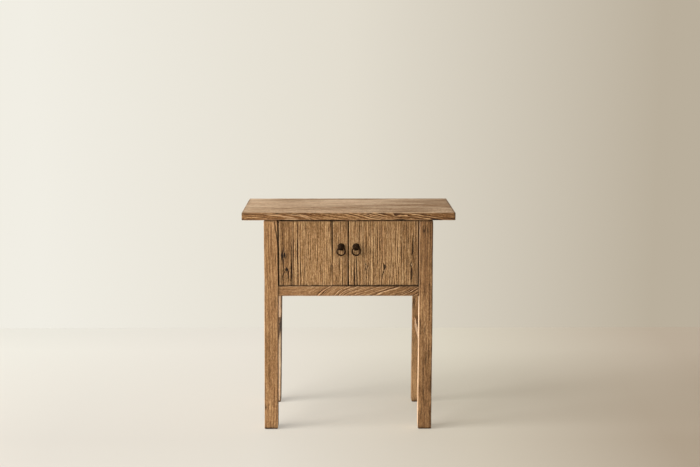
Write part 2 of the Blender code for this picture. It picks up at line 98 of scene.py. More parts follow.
# What every wooden piece has. A piece's own dictionary replaces some of it.
woodBase = dict(
    axes="zxy",  # along the grain, across it, through it
    body="frame",
    finish="frameElm",
    slot="frame_elm",
    arris=0.0028,  # worn corner, or one for the high and one for the low side across the grain
    endRound=0.0025,
    pitch=(0.0042, 0.0010, 0.0018),  # mesh: along, show faces, other faces
    show=(1, 1, 1, 1),  # faces with the finer mesh: +across, +through, -across, -through
    tenons=(None, None),  # (length, across, through) past the low and the high end
    pith=(0.16, 0.05),  # middle of the tree from the middle of the board: across, through
    ringWidth=0.0058,
    wander=0.004,  # how far the grain strays along the board
    ripple=0.0008,
    drift=0.0,  # slant of the rings: one shift, or (along, shift) points
    relief=0.00025,  # depth that weather has worn out of the rings
    chips=0.0012,
    knots=(),
    cracks=(),
    figure=1.0,  # strength of the rings' colour: one value, or (along, strength) points
    streaks=(-0.7, 0.7),  # noise levels between which a ring goes from faint to strong
    tone=0.0,
    fade=0.0,  # change of tone, partly a painted falloff of the light: one value, or (along, tone) points
    patches=(0.5, 3.0, 14.0),  # patches of tone: strength, how many a metre along and across
    grime=(),  # (axis, place, reach, strength), then from and to along the board: dirt and painted shade
    stainsAndShade=(),  # more of the same, for one piece, mostly painted shade in gaps and on edges out of the light
    bow=0.0004,
    bleachAndLight=None,  # the paler face: bleached by light and dust, partly painted light on faces to the lamp and painted sheen on the top
    bleachAndLightShare=1.0,
    lean=(0.0, 0.0),  # (how far the low end stands out across the grain, height where that starts)
    turnRound=None,  # (X of the pivot, radius) of the round on a door's back corner
    backOff=0.0,  # taken off the low side across the grain, as room for the doors to turn
)
faceNormals = {"right": (1, 0), "over": (0, 1), "left": (-1, 0), "under": (0, -1)}  # across, through
sideAxes = {"right": 2, "over": 1, "left": 2, "under": 1}  # the axis that runs sideways over a face
rippleWaves = ((16, 2.5, 5, 18), (3, 1.0, 15, 60), (4, 0.45, 45, 160))  # seed step, share, waves along and across
crackShake = 0.0006  # how far a crack's line trembles
grimeAndShadeFade = 0.008  # half the length over which dirt and painted shade end along a board


# A knot at a place along and across its face, with its half length and half width, in millimetres.
def knotOf(along, side, halfLong, halfWide, push=6, dark=1.0, heart=0.7, pale=0.0, depth=0.8, face="under"):
    return dict(at=(along / 1000, side / 1000), size=(halfLong / 1000, halfWide / 1000), push=push / 1000,
                dark=dark, heart=heart, pale=pale, depth=depth / 1000, face=face)


# A crack through points (along, side, half width), in millimetres. With a pale share and no depth: a painted
# highlight.
def crackOf(*points, dark=1.0, pale=0.0, depth=1.6, face="under"):
    return dict(path=np.array(points) / 1000, dark=dark, pale=pale, depth=depth / 1000, face=face)


# Fine cracks spread over a face: straight along the grain, each with its own length, width and darkness.
def fineCracks(seed, sides, span, lengths, count, widths=(0.8, 1.4), darks=(0.35, 0.8), face="under"):
    chance = np.random.default_rng(seed)
    places = np.linspace(*sides, count) + chance.uniform(-0.3, 0.3, count) * (sides[1] - sides[0]) / count
    starts = chance.uniform(span[0], span[1] - lengths[0], count)
    ends = np.minimum(starts + chance.uniform(*lengths, count), span[1])
    leans, broad, dark = (chance.uniform(*limits, count) for limits in ((-1, 1), widths, darks))
    return tuple(
        crackOf((start, place, 0), ((start + end) / 2, place + lean, width), (end, place, 0), dark=shade, depth=0.8,
                face=face)
        for start, end, place, lean, width, shade in zip(starts, ends, chance.permutation(places), leans, broad, dark)
    )


# Distance from the pith, which strays along the grain, with the drift and the ripples added.
def growRings(wood, spot):
    along, across, through = spot
    seed = wood["seed"]
    strayA = boardNoise(seed, spot, 2.6) + 0.4 * boardNoise(seed + 1, spot, 7.5)
    strayT = boardNoise(seed + 2, spot, 2.6)
    fromPithA = across - wood["pith"][0] - wood["wander"] * strayA
    fromPithT = through - wood["pith"][1] - wood["wander"] * strayT
    radius = np.hypot(fromPithA, fromPithT) + valueAlong(wood["drift"], along)
    for step, share, longWave, crossWave in rippleWaves:
        radius = radius + share * wood["ripple"] * boardNoise(seed + step, spot, longWave, crossWave)
    return radius


# A knot is an oval: the rings swell round it, its rim is dark, and its heart is sunk.
def addKnots(wood, place, facing, radius):
    mask, sunk, pale = (np.zeros(radius.shape) for part in range(3))
    for knot in wood["knots"]:
        gate = smoothStep(0.2, 0.8, facing[knot["face"]])
        side = place[sideAxes[knot["face"]]]
        offA = (place[0] - knot["at"][0]) / knot["size"][0]
        offS = (side - knot["at"][1]) / knot["size"][1]
        oval = np.hypot(offA, offS) * (1 + 0.25 * softNoise(wood["seed"] + 9, place[0] * 90, side * 300))
        radius = radius + knot["push"] * np.exp(-((offA / 2.6) ** 2) - (offS / 1.6) ** 2)
        rim = np.exp(-(((oval - 0.85) / 0.32) ** 2))
        heart = smoothStep(0.7, 0.1, oval)
        tail = 0.55 * np.exp(-(offS**2) * 2.2) * smoothStep(4.2, 0.8, np.abs(offA))
        mask = np.maximum(mask, gate * knot["dark"] * np.clip(rim + heart * knot["heart"] + tail, 0, 1))
        sunk = sunk + gate * knot["depth"] * (rim * 0.8 + heart * 0.5)
        pale = np.maximum(pale, gate * knot["pale"] * smoothStep(0.9, 0.3, oval))
    return radius, mask, sunk, pale


# A crack follows points along the grain. Its depth falls from its line to its lips over a width that the points give.
def addCracks(wood, place, facing):
    mask, sunk, pale = (np.zeros(place[0].shape) for part in range(3))
    shake = crackShake * softNoise(wood["seed"] + 17, place[0] * 70)
    for crack in wood["cracks"]:
        stations, sides, widths = crack["path"][np.argsort(crack["path"][:, 0])].T
        line = np.interp(place[0], stations, sides) + shake
        width = np.interp(place[0], stations, widths, left=0.0, right=0.0)
        gap = np.abs(place[sideAxes[crack["face"]]] - line)
        gate = smoothStep(0.2, 0.8, facing[crack["face"]])
        lips = gate * np.clip(1.15 - gap / np.maximum(width, 1e-5), 0, 1) * (width > 2e-5)
        mask = np.maximum(mask, smoothStep(0.0, 0.7, lips) * crack["dark"])
        sunk = np.maximum(sunk, smoothStep(0.0, 1.0, lips) * crack["depth"])
        pale = np.maximum(pale, lips * crack["pale"])
    return mask, sunk, pale


# Walk round a rounded rectangle: a flat face, then a quarter turn, four times.
# Returns the outward normal and the place between the corner centres, from -1 to 1, of each step.
def walkSection(faceSteps, cornerSteps):
    normals, cores = [], []
    for quarter, steps in enumerate(faceSteps):
        turn = quarter * math.pi / 2
        outward = np.array([math.cos(turn), math.sin(turn)])
        onward = np.array([-math.sin(turn), math.cos(turn)])
        flat = np.linspace(-1, 1, steps, endpoint=False)[:, None]
        bend = turn + np.linspace(0, math.pi / 2, cornerSteps, endpoint=False)
        normals += [np.repeat(outward[None], steps, 0), np.stack([np.cos(bend), np.sin(bend)], 1)]
        cores += [outward + onward * flat, np.repeat((outward + onward)[None], cornerSteps, 0)]
    return np.round(np.concatenate(normals), 9).T, np.concatenate(cores).T


skin = dict(
    leastAcross=4, leastAlong=8, cornerSteps=5, endSteps=5,  # mesh
    wornReach=0.0035, wornCorner=0.002, endReach=0.004,  # how far rubbing reaches from corners and ends
    paleRim=0.006, paleShake=0.004,  # width of the rim that isn't paled, and how far it strays
)
tenonRound = 0.0006
tenonRows = ((0.06, 0.0, 0.0), (0.95, 0.0, 0.0), (1.0, 0.0005, 1.0))  # share of the length, inset, lean to the end
capScales = (0.94, 0.82, 0.64, 0.44, 0.22)  # sections that shrink to the point in the middle of an end


# Sections from the start of one end's rounding to the point that closes it.
# Each row: place along, half across, half through, corner radii, lean of the normal to the end, share of the relief.
def endRows(half, halfA, halfT, roundPlus, roundMinus, endRound, tenon):
    rows = []
    for turn in np.linspace(0, math.pi / 2, skin["endSteps"])[1:]:
        inset = endRound * (1 - math.cos(turn))
        place = half - endRound * (1 - math.sin(turn))
        rows.append([place, halfA - inset, halfT - inset, roundPlus, roundMinus, math.sin(turn), 1.0])
    full = np.array(rows[-1])
    if tenon:
        length, neckA, neckT = tenon[0], tenon[1] / 2, tenon[2] / 2
        rows.append(list(full * [1, 0.96, 0.96, 1, 1, 1, 0]))
        rows.append([half, neckA, neckT, tenonRound, tenonRound, 1.0, 0.0])
        for reach, inset, lean in tenonRows:
            rows.append([half + length * reach, neckA - inset, neckT - inset, tenonRound, tenonRound, lean, 0.0])
        full = np.array(rows[-1])
    for scale in capScales:
        rows.append(list(full * [1, scale, scale, scale, scale, 1, 1]))
    return np.array(rows)


# A closed skin over a grid of rings: quads between the rings, a fan of triangles at each end.
def gridFaces(rings, steps):
    row = np.arange(rings - 1)[:, None] * steps
    step = np.arange(steps)[None]
    onward = (step + 1) % steps
    quads = np.stack([row + step, row + onward, row + steps + onward, row + steps + step], -1).reshape(-1, 4)
    first, last = rings * steps, rings * steps + 1
    low = np.stack([np.full(steps, first), onward[0], step[0]], -1)
    top = (rings - 1) * steps
    high = np.stack([np.full(steps, last), top + step[0], top + onward[0]], -1)
    return quads, np.concatenate([low, high])


# Vertices, quads and triangles into a mesh object at the origin, with its values for the finish.
def makeMesh(name, points, quads, triangles=np.empty((0, 3), int), values=None, cornerMap=None):
    mesh = bpy.data.meshes.new(name)
    corners = np.concatenate([quads.ravel(), triangles.ravel()]).astype(np.int32)
    starts = np.concatenate([np.arange(len(quads)) * 4, len(quads) * 4 + np.arange(len(triangles)) * 3])
    mesh.vertices.add(len(points))
    mesh.vertices.foreach_set("co", points.astype(np.float32).ravel())
    mesh.loops.add(len(corners))
    mesh.loops.foreach_set("vertex_index", corners)
    mesh.polygons.add(len(starts))
    mesh.polygons.foreach_set("loop_start", starts.astype(np.int32))
    mesh.update(calc_edges=True)
    mesh.shade_smooth()
    for label, value in (values or {}).items():
        kind, key = ("FLOAT_VECTOR", "vector") if value.ndim == 2 else ("FLOAT", "value")
        mesh.attributes.new(label, kind, "POINT").data.foreach_set(key, value.astype(np.float32).ravel())
    if cornerMap is not None:
        mesh.uv_layers.new(name="OFBake").uv.foreach_set("vector", cornerMap.astype(np.float32).ravel())
    piece = bpy.data.objects.new(name, mesh)
    bpy.context.scene.collection.objects.link(piece)
    return piece


# The board's flat map: margin, width and height of the sheet of its sides, then place and size of its ends.
flatMap = dict(margin=0.005, sheet=(0.99, 0.87), endStarts=(0.0, 0.01, 0.515), endUp=0.89, end=(0.47, 0.1))


# Flat map of a board: its sides unrolled into one sheet, its two ends in the strip above.
def boardMap(quads, triangles, rings, steps, endRings, flatA, flatT):
    margin, (wide, tall), (endWide, endTall) = (flatMap[name] for name in ("margin", "sheet", "end"))
    endStarts = np.stack([flatMap["endStarts"], np.zeros(3)], -1)  # on no end, on the low one, on the high one
    ringOf, stepOf = np.divmod(np.arange(len(quads)), steps)
    stepAt = stepOf[:, None] + np.array([0, 1, 1, 0])
    ringAt = ringOf[:, None] + np.array([0, 0, 1, 1])
    sheetUp = margin + tall * (ringAt - endRings) / (rings - 1 - 2 * endRings)
    sheet = np.stack([margin + wide * stepAt / steps, sheetUp], -1)
    onEnd = np.where(ringOf < endRings, 1, np.where(ringOf >= rings - 1 - endRings, 2, 0))
    spanA, spanT = np.ptp(flatA) + 1e-6, np.ptp(flatT) + 1e-6
    endUp = flatMap["endUp"] + (flatT - flatT.min()) / spanT * endTall
    ends = np.stack([(flatA - flatA.min()) / spanA * endWide, endUp], -1)
    quadMap = np.where(onEnd[:, None, None] > 0, ends[quads] + endStarts[onEnd][:, None], sheet)
    fanMap = ends[triangles] + endStarts[1 + (np.arange(len(triangles)) >= steps)][:, None]
    return np.concatenate([quadMap.reshape(-1, 2), fanMap.reshape(-1, 2)])


# A worn board: a rounded rectangle carried along the grain of its CAD box, with the weather's relief in its skin.
# Every noise adds its own number to the board's seed.
def makeBoard(node, wood):
    axes = ["xyz".index(letter) for letter in wood["axes"]]
    low, high = (np.array(corner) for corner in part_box(node))
    seed, tenons = wood["seed"], wood["tenons"]
    low[axes[0]] += tenons[0][0] if tenons[0] else 0
    high[axes[0]] -= tenons[1][0] if tenons[1] else 0
    low[axes[1]] += wood["backOff"]
    middle = ((low + high) / 2)[axes]
    half, halfA, halfT = ((high - low) / 2)[axes]
    alongPitch, finePitch, plainPitch = wood["pitch"]
    widths, pitches = (halfT, halfA, halfT, halfA), (finePitch if fine else plainPitch for fine in wood["show"])
    faceSteps = [max(skin["leastAcross"], math.ceil(2 * width / pitch)) for width, pitch in zip(widths, pitches)]
    (normA, normT), (coreA, coreT) = walkSection(faceSteps, skin["cornerSteps"])
    steps = len(normA)

    # rows of sections from the low end to the high end
    roundPlus, roundMinus = np.broadcast_to(wood["arris"], 2)
    ends = [endRows(half, halfA, halfT, roundPlus, roundMinus, wood["endRound"], tenon) for tenon in tenons]
    ends[0] = ends[0][::-1] * [-1, 1, 1, 1, 1, -1, 1]
    reach = half - wood["endRound"]
    stations = np.linspace(-reach, reach, max(skin["leastAlong"], math.ceil(2 * reach / alongPitch)))
    body = np.tile([0, halfA, halfT, roundPlus, roundMinus, 0, 1.0], (len(stations), 1))
    body[:, 0] = stations
    rows = np.concatenate([ends[0], body, ends[1]])
    along, secA, secT, plus, minus, lean, share = rows.T[:, :, None]
    rings = len(rows)

    # the section of each row
    corner = np.minimum(np.where(coreA > 0, plus, minus), np.minimum(secA, secT))
    inPlus = secA - np.minimum(plus, secA)
    inMinus = secA - np.minimum(minus, secA)
    across = np.where(coreA > 0, coreA * inPlus, coreA * inMinus) + corner * normA
    flatFace = (np.abs(normT) > 0.999) & (np.abs(coreA) < 1)
    across = np.where(flatFace, (coreA + 1) / 2 * (inPlus + inMinus) - inMinus, across)
    through = coreT * (secT - corner) + corner * normT
    along = np.broadcast_to(along, across.shape)
    if wood["turnRound"]:  # the back corner by the pivot is planed round, so that the door clears the rail as it turns
        pivot, room = wood["turnRound"]
        offPivot = across + middle[1] - pivot
        byPivot = (offPivot * pivot > 0) & (through > 0)
        shrink = np.where(byPivot, np.minimum(1, room / np.maximum(np.hypot(offPivot, through), 1e-6)), 1)
        across, through = across + offPivot * (shrink - 1), through * shrink

    # wood: rings, knots and cracks; a streak is how strongly a ring shows, a slow noise over its number and the length
    spot = along, across, through
    place = (along + middle[0], across + middle[1], through + middle[2])
    facing = {name: a * normA + t * normT for name, (a, t) in faceNormals.items()}
    radius, knot, knotSunk, knotPale = addKnots(wood, place, facing, growRings(wood, spot))
    phase = radius / wood["ringWidth"]
    phase = phase + 0.6 * softNoise(seed + 5, phase * 0.45) + 0.3 * softNoise(seed + 18, phase * 1.3)
    streak = smoothStep(*wood["streaks"], softNoise(seed + 6, phase * 0.75, along * 11))
    crack, crackSunk, crackPale = addCracks(wood, place, facing)

    # worn corners and the relief of the skin
    edgeGap = np.maximum((1 - np.abs(coreA)) * secA, (1 - np.abs(coreT)) * secT)
    endGap = np.maximum(half - np.abs(along), 0) + 0.5 * min(roundPlus, roundMinus) * (share < 0.5)
    cornerSide = np.sign(coreA) + 2 * np.sign(coreT)
    nick = np.clip(softNoise(seed + 7, along * 22, cornerSide * 3.7) - 0.3, 0, 1)
    nick = nick + 0.35 * np.clip(softNoise(seed + 8, along * 80, cornerSide * 5.1), 0, 1)
    worn = np.exp(-((edgeGap / skin["wornReach"]) ** 2)) * np.clip(corner / skin["wornCorner"], 0.2, 1)
    relief = -wood["relief"] * (0.25 + 0.75 * streak) * ringGroove(phase)
    relief = relief - knotSunk - crackSunk - wood["chips"] * nick * worn
    relief = relief + wood["bow"] * 0.5 * boardNoise(seed + 10, spot, 9, 22)
    relief = relief * share * np.where(np.abs(lean) > 0.95, 0.35, 1.0)

    # place in the table, pushed along the normal
    lateral = np.sqrt(np.clip(1 - lean**2, 0, 1))
    bowA = wood["bow"] * 1.5 * boardNoise(seed + 11, spot, 3.1)
    bowA = bowA + wood["lean"][0] * np.clip(1 - place[0] / max(wood["lean"][1], 1e-6), 0, 1)
    bowT = wood["bow"] * boardNoise(seed + 12, spot, 3.1)
    local = np.stack([
        along + lean * relief,
        across + bowA + lateral * normA * relief,
        through + bowT + lateral * normT * relief,
    ], -1) + middle
    points = np.empty((rings * steps + 2, 3))
    points[:-2, axes] = local.reshape(-1, 3)
    points[-2:, axes] = local[[0, -1]].mean(1)

    # values that the finish reads: one for each vertex, and a ring's mean for the point in the middle of an end
    def flat(value):
        value = np.broadcast_to(value, across.shape)
        return np.concatenate([value.ravel(), [value[0].mean(), value[-1].mean()]])

    # dirt, and painted shade in the gaps and on edges and faces out of the light
    grime = np.zeros(across.shape)
    for axis, start, spread, strength, *span in wood["grime"] + wood["stainsAndShade"]:
        dirt = strength * np.exp(-np.abs(place[axes.index("xyz".index(axis))] - start) / spread)
        if span:
            dirt = dirt * smoothStep(span[0] - grimeAndShadeFade, span[0] + grimeAndShadeFade, place[0])
            dirt = dirt * smoothStep(span[1] + grimeAndShadeFade, span[1] - grimeAndShadeFade, place[0])
        grime = np.maximum(grime, dirt)
    grime = grime * (0.75 + 0.5 * boardNoise(seed + 13, spot, 40, 90))
    wear = worn * (0.55 + 0.45 * softNoise(seed + 14, along * 12, cornerSide * 2.3))
    wear = np.maximum(wear, 0.6 * np.exp(-((endGap / skin["endReach"]) ** 2)))
    # painted highlight lines and pale knots go in with the wear
    wear = np.maximum(wear, 2 * np.maximum(knotPale, crackPale))
    strength, *patchWaves = wood["patches"]
    # tone along the board, partly a painted falloff of the light from the left
    tone = wood["tone"] + valueAlong(wood["fade"], along) + strength * boardNoise(seed + 15, spot, *patchWaves)
    # a paler face: bleaching, and painted light on faces turned to the lamp and painted sheen on the top
    bleachAndLight = smoothStep(0.55, 0.98, facing[wood["bleachAndLight"]]) if wood["bleachAndLight"] else 0.0
    rim = edgeGap + 4 * np.clip(skin["wornCorner"] - corner, 0, 1)
    rim = rim + skin["paleShake"] * softNoise(seed + 19, along * 30, across * 60)
    bleachAndLight = wood["bleachAndLightShare"] * bleachAndLight * (1 - np.abs(lean)) * smoothStep(0.0, skin["paleRim"], rim)
    shift = np.array([0.37, 0.61, 0.23]) * seed
    slant = 1.4 * valueAlong(wood["drift"], along)
    values = {
        "rings": flat(phase),
        "streak": flat(streak * valueAlong(wood["figure"], along)),
        "crack": flat(crack),
        "knot": flat(knot),
        "wear": flat(np.clip(wear, 0, 2)),
        "grime": flat(np.clip(grime, 0, 1)),
        "tone": flat(tone),
        "bleachAndLight": flat(bleachAndLight),
        "grain": np.stack([flat(across), flat(through + slant), flat(along)], -1) + shift,
    }

    quads, triangles = gridFaces(rings, steps)
    cornerMap = boardMap(quads, triangles, rings, steps, len(ends[0]) - 1, flat(across), flat(through))
    if np.linalg.det(np.eye(3)[axes]) < 0:  # the axes are left-handed, so the faces are turned round
        quadMap, fanMap = np.split(cornerMap, [len(quads) * 4])
        turned = quadMap.reshape(-1, 4, 2)[:, ::-1], fanMap.reshape(-1, 3, 2)[:, ::-1]
        cornerMap = np.concatenate([part.reshape(-1, 2) for part in turned])
        quads, triangles = quads[:, ::-1], triangles[:, ::-1]
    dress(makeMesh(pieceName(node), points, quads, triangles, values, cornerMap), node, wood)


# Boards made one after the other, by node, and counted.
def makeBoards(label, boards):
    for node, wood in boards.items():
        makeBoard(node, wood)
    print(label, len(boards))


# top_plank_front becomes topPlankFront.
def pieceName(node):
    words = node.split("_")
    return words[0] + "".join(word.capitalize() for word in words[1:])


# A piece's finish, the body it rides on, and the node it replaces.
def dress(piece, node, recipe):
    piece.data.materials.append(finishes[recipe["finish"]])
    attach(piece, recipe["body"])
    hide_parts(node)


# Finishes

# sRGB from 0 to 255 into Blender's linear colour.
def paint(red, green, blue):
    share = np.array([red, green, blue]) / 255
    linear = np.where(share <= 0.04045, share / 12.92, ((share + 0.055) / 1.055) ** 2.4)
    return (*linear.tolist(), 1.0)


# The same level of red, green and blue.
def grey(level):
    return (level, level, level, 1.0)


# A new material, its node tree and its shader.
def newFinish(name):
    material = bpy.data.materials.new(name)
    material.use_nodes = True
    return material, material.node_tree, material.node_tree.nodes["Principled BSDF"]


# Each socket is linked to a node's output or set to a value.
def feed(tree, sockets, values):
    for name, value in values.items():
        if isinstance(value, bpy.types.NodeSocket):
            tree.links.new(value, sockets[name])
        else:
            sockets[name].default_value = value


# A node with its settings, and its sockets linked or set.
def addNode(tree, kind, links=None, **settings):
    node = tree.nodes.new("ShaderNode" + kind)
    for name, value in settings.items():
        setattr(node, name, value)
    feed(tree, node.inputs, links or {})
    return node


# One sum of a node tree, such as first + second for ADD.
def mathOf(tree, operation, *values):
    return addNode(tree, "Math", dict(enumerate(values)), operation=operation).outputs[0]


# Short forms of mathOf for one tree. MULTIPLY_ADD is first * second + third.
def sumsOf(tree, *operations):
    return [partial(mathOf, tree, operation) for operation in operations]


# From the first colour where the factor is 0 to the second where it is 1.
def mixOf(tree, factor, first, second, blend="MIX"):
    links = {0: factor, 6: first, 7: second}
    return addNode(tree, "Mix", links, data_type="RGBA", blend_type=blend).outputs[2]


# From 0 at low to top at high, and no further.
def spreadOf(tree, value, low, high, top=1.0):
    return addNode(tree, "MapRange", {0: value, 1: low, 2: high, 4: top}).outputs[0]


# A colour that changes evenly between (value, colour) stops.
def rampOf(tree, value, stops):
    node = addNode(tree, "ValToRGB", {0: value})
    elements = node.color_ramp.elements
    for place, colour in stops[2:]:
        elements.new(place)
    for element, (place, colour) in zip(elements, stops):
        element.position = place
        element.color = colour
    return node.outputs["Color"]


# Noise from 0 to 1 with a mean of 0.5 and so many waves a metre along each axis.
def noiseOf(tree, vector, stretch, detail):
    scaled = addNode(tree, "VectorMath", {0: vector, 1: stretch}, operation="MULTIPLY").outputs[0]
    return addNode(tree, "TexNoise", {"Vector": scaled, "Scale": 1.0, "Detail": detail}).outputs["Fac"]


# A node group, from the names of its inputs and outputs for each kind of socket.
def newGroup(name, inputs, outputs):
    tree = bpy.data.node_groups.new(name, "ShaderNodeTree")
    for way, sockets in (("INPUT", inputs), ("OUTPUT", outputs)):
        for kind, labels in sockets.items():
            for label in labels:
                tree.interface.new_socket(label, in_out=way, socket_type="NodeSocket" + kind)
    return tree, tree.nodes.new("NodeGroupInput").outputs, tree.nodes.new("NodeGroupOutput").inputs


grainWaves = dict(  # waves a metre across, through and along the grain, and detail
    wide=((150, 150, 12), 2), narrow=((300, 300, 42), 2), fibre=((640, 640, 90), 3), mottle=((300, 300, 130), 2),
    dash=((1500, 1500, 55), 1), speck=((160, 160, 40), 3), patch=((26, 26, 5), 3),
)
figureValues, figureLooks = ("rings", "streak"), ("ringContrast", "bandContrast", "fibreContrast", "mottle", "crest")
figureShares = dict(
    ringShake=0.4, plainForce=0.25, yearMean=0.62, bands=(1.4, 1.2), poreSpan=(0.58, 0.7),
    fibreHeight=0.6, yearHeight=0.5, poreDepth=0.7,
)
yearStops = ((0.0, 0.0), (0.13, 0.12), (0.27, 0.55), (0.5, 0.75), (0.78, 1.05), (1.0, 0.0))
# a light crest at the end of each year: a painted highlight on the ring's ridge
crestStops = ((0.0, 0.42), (0.2, 0.46), (0.5, 0.54), (0.72, 0.62), (0.87, 1.0), (1.0, 0.42))


# Figure of the wood from its rings: a dark line at the start of each year or a light crest at its end, which is a
# painted highlight on the ridge, then bands, fibres, mottle and pores along the grain.
def elmFigureGroup():
    inputs = {"Float": figureValues + figureLooks, "Vector": ("grain",)}
    tree, given, result = newGroup("elmFigure", inputs, {"Float": ("tone", "pores", "height")})
    add, subtract, times, timesAdd = sumsOf(tree, "ADD", "SUBTRACT", "MULTIPLY", "MULTIPLY_ADD")
    wide, narrow, fibre, mottle, dash = (
        noiseOf(tree, given["grain"], *grainWaves[name]) for name in ("wide", "narrow", "fibre", "mottle", "dash"))
    shake = figureShares["ringShake"]
    share = mathOf(tree, "FRACT", add(given["rings"], timesAdd(narrow, shake, -shake / 2)))
    year, crest = (rampOf(tree, share, [(place, grey(level)) for place, level in stops])
                   for stops in (yearStops, crestStops))
    year = timesAdd(subtract(crest, year), given["crest"], year)
    force = times(given["ringContrast"], timesAdd(given["streak"], 1.0, figureShares["plainForce"]))
    tone = timesAdd(subtract(year, figureShares["yearMean"]), force, 0.5)
    wideShare, narrowShare = figureShares["bands"]
    bands = timesAdd(wide, wideShare, times(narrow, narrowShare))
    tone = timesAdd(subtract(bands, (wideShare + narrowShare) / 2), given["bandContrast"], tone)
    tone = timesAdd(subtract(fibre, 0.5), given["fibreContrast"], tone)
    tone = timesAdd(subtract(mottle, 0.5), given["mottle"], tone)
    pores = times(spreadOf(tree, dash, *figureShares["poreSpan"]), subtract(1.0, year))
    height = timesAdd(fibre, figureShares["fibreHeight"], times(year, figureShares["yearHeight"]))
    feed(tree, result, dict(tone=tone, pores=pores, height=subtract(height, times(pores, figureShares["poreDepth"]))))
    return tree


age = dict(
    wearAndHighlightSpeck=1.1, wearAndHighlightLeast=-0.1, dirtAndShadeLeast=0.35, knotShare=0.85,
    rough=0.62, roughSpeck=0.16, roughWear=-0.08, roughCrack=0.2,
)
ageValues, ageLooks = ("wear", "grime", "crack", "knot"), ("rubbedAndHighlight", "dirt", "hollow")


# Age on top of a colour: rubbed corners and painted highlight lines, dirt and painted shade, dark cracks and knots.
def weatherGroup():
    inputs = {"Color": ("colour",) + ageLooks, "Float": ageValues, "Vector": ("grain",)}
    tree, given, result = newGroup("weather", inputs, {"Color": ("colour",), "Float": ("roughness",)})
    add, times, timesAdd = sumsOf(tree, "ADD", "MULTIPLY", "MULTIPLY_ADD")
    speck = noiseOf(tree, given["grain"], *grainWaves["speck"])
    rubbedAndHighlight = times(given["wear"], timesAdd(speck, age["wearAndHighlightSpeck"], age["wearAndHighlightLeast"]))
    colour = mixOf(tree, rubbedAndHighlight, given["colour"], given["rubbedAndHighlight"])
    # dirt and painted shade darken the colour
    colour = mixOf(tree, times(given["grime"], add(speck, age["dirtAndShadeLeast"])), colour, given["dirt"])
    colour = mixOf(tree, times(given["knot"], age["knotShare"]), colour, given["hollow"])
    colour = mixOf(tree, given["crack"], colour, given["hollow"])
    rough = timesAdd(given["wear"], age["roughWear"], timesAdd(speck, age["roughSpeck"], age["rough"]))
    feed(tree, result, dict(colour=colour, roughness=add(rough, times(given["crack"], age["roughCrack"]))))
    return tree


elmFigure, weather = elmFigureGroup(), weatherGroup()


# Old elm: the figure sets a tone between dark and light wood, one side may be paler from bleaching and painted
# light, patches grey it, and age goes on top.
def elmFinish(name, look):
    material, tree, shader = newFinish(name)
    times, timesAdd = sumsOf(tree, "MULTIPLY", "MULTIPLY_ADD")
    labels = figureValues + ageValues + ("tone", "bleachAndLight")
    value = {label: addNode(tree, "Attribute", attribute_name=label).outputs["Fac"] for label in labels}
    grain = addNode(tree, "Attribute", attribute_name="grain").outputs["Vector"]
    links = {label: value[label] for label in figureValues} | {label: look[label] for label in figureLooks}
    figure = addNode(tree, "Group", dict(links, grain=grain), node_tree=elmFigure).outputs
    tone = timesAdd(value["tone"], look["toneShare"], figure["tone"])
    colour = rampOf(tree, tone, [(0.0, look["dark"]), (0.5, look["middle"]), (1.0, look["light"])])
    # pale wood for the paler face, which is partly painted light
    pale = rampOf(tree, tone, [(0.1, look["paleDark"]), (0.9, look["paleLight"])])
    colour = mixOf(tree, value["bleachAndLight"], colour, pale)
    patch = spreadOf(tree, noiseOf(tree, grain, *grainWaves["patch"]), *look["silverSpan"], look["silverShare"])
    colour = mixOf(tree, patch, colour, mixOf(tree, 1.0, colour, look["silver"], "OVERLAY"))
    colour = mixOf(tree, times(figure["pores"], look["poreShare"]), colour, look["hollow"])
    links = {label: value[label] for label in ageValues} | {label: look[label] for label in ageLooks}
    aged = addNode(tree, "Group", dict(links, colour=colour, grain=grain), node_tree=weather).outputs
    links = {"Height": figure["height"], "Strength": look["bump"], "Distance": look["bumpDepth"]}
    raised = addNode(tree, "Bump", links)
    feed(tree, shader.inputs, {"Base Color": aged["colour"], "Roughness": aged["roughness"],
                               "Normal": raised.outputs["Normal"], "Specular IOR Level": look["specular"]})
    return material


forged = dict(
    rust=((420, 420, 420), 4), pit=((1500, 1500, 1500), 2), stops=(0.3, 0.55, 0.75), bump=0.35, pitDepth=0.0004,
    metallic=0.05, specular=0.07, rough=0.5, roughRust=0.35,
)


# Forged iron: brown black, with dull rust in patches and pits all over.
def ironFinish(name, *colours):
    material, tree, shader = newFinish(name)
    place = addNode(tree, "TexCoord").outputs["Object"]
    rust = noiseOf(tree, place, *forged["rust"])
    pit = noiseOf(tree, place, *forged["pit"])
    colour = rampOf(tree, rust, list(zip(forged["stops"], colours)))
    raised = addNode(tree, "Bump", {"Height": pit, "Strength": forged["bump"], "Distance": forged["pitDepth"]})
    rough = mathOf(tree, "MULTIPLY_ADD", rust, forged["roughRust"], forged["rough"])
    feed(tree, shader.inputs, {"Base Color": colour, "Roughness": rough, "Normal": raised.outputs["Normal"],
                               "Metallic": forged["metallic"], "Specular IOR Level": forged["specular"]})
    return material


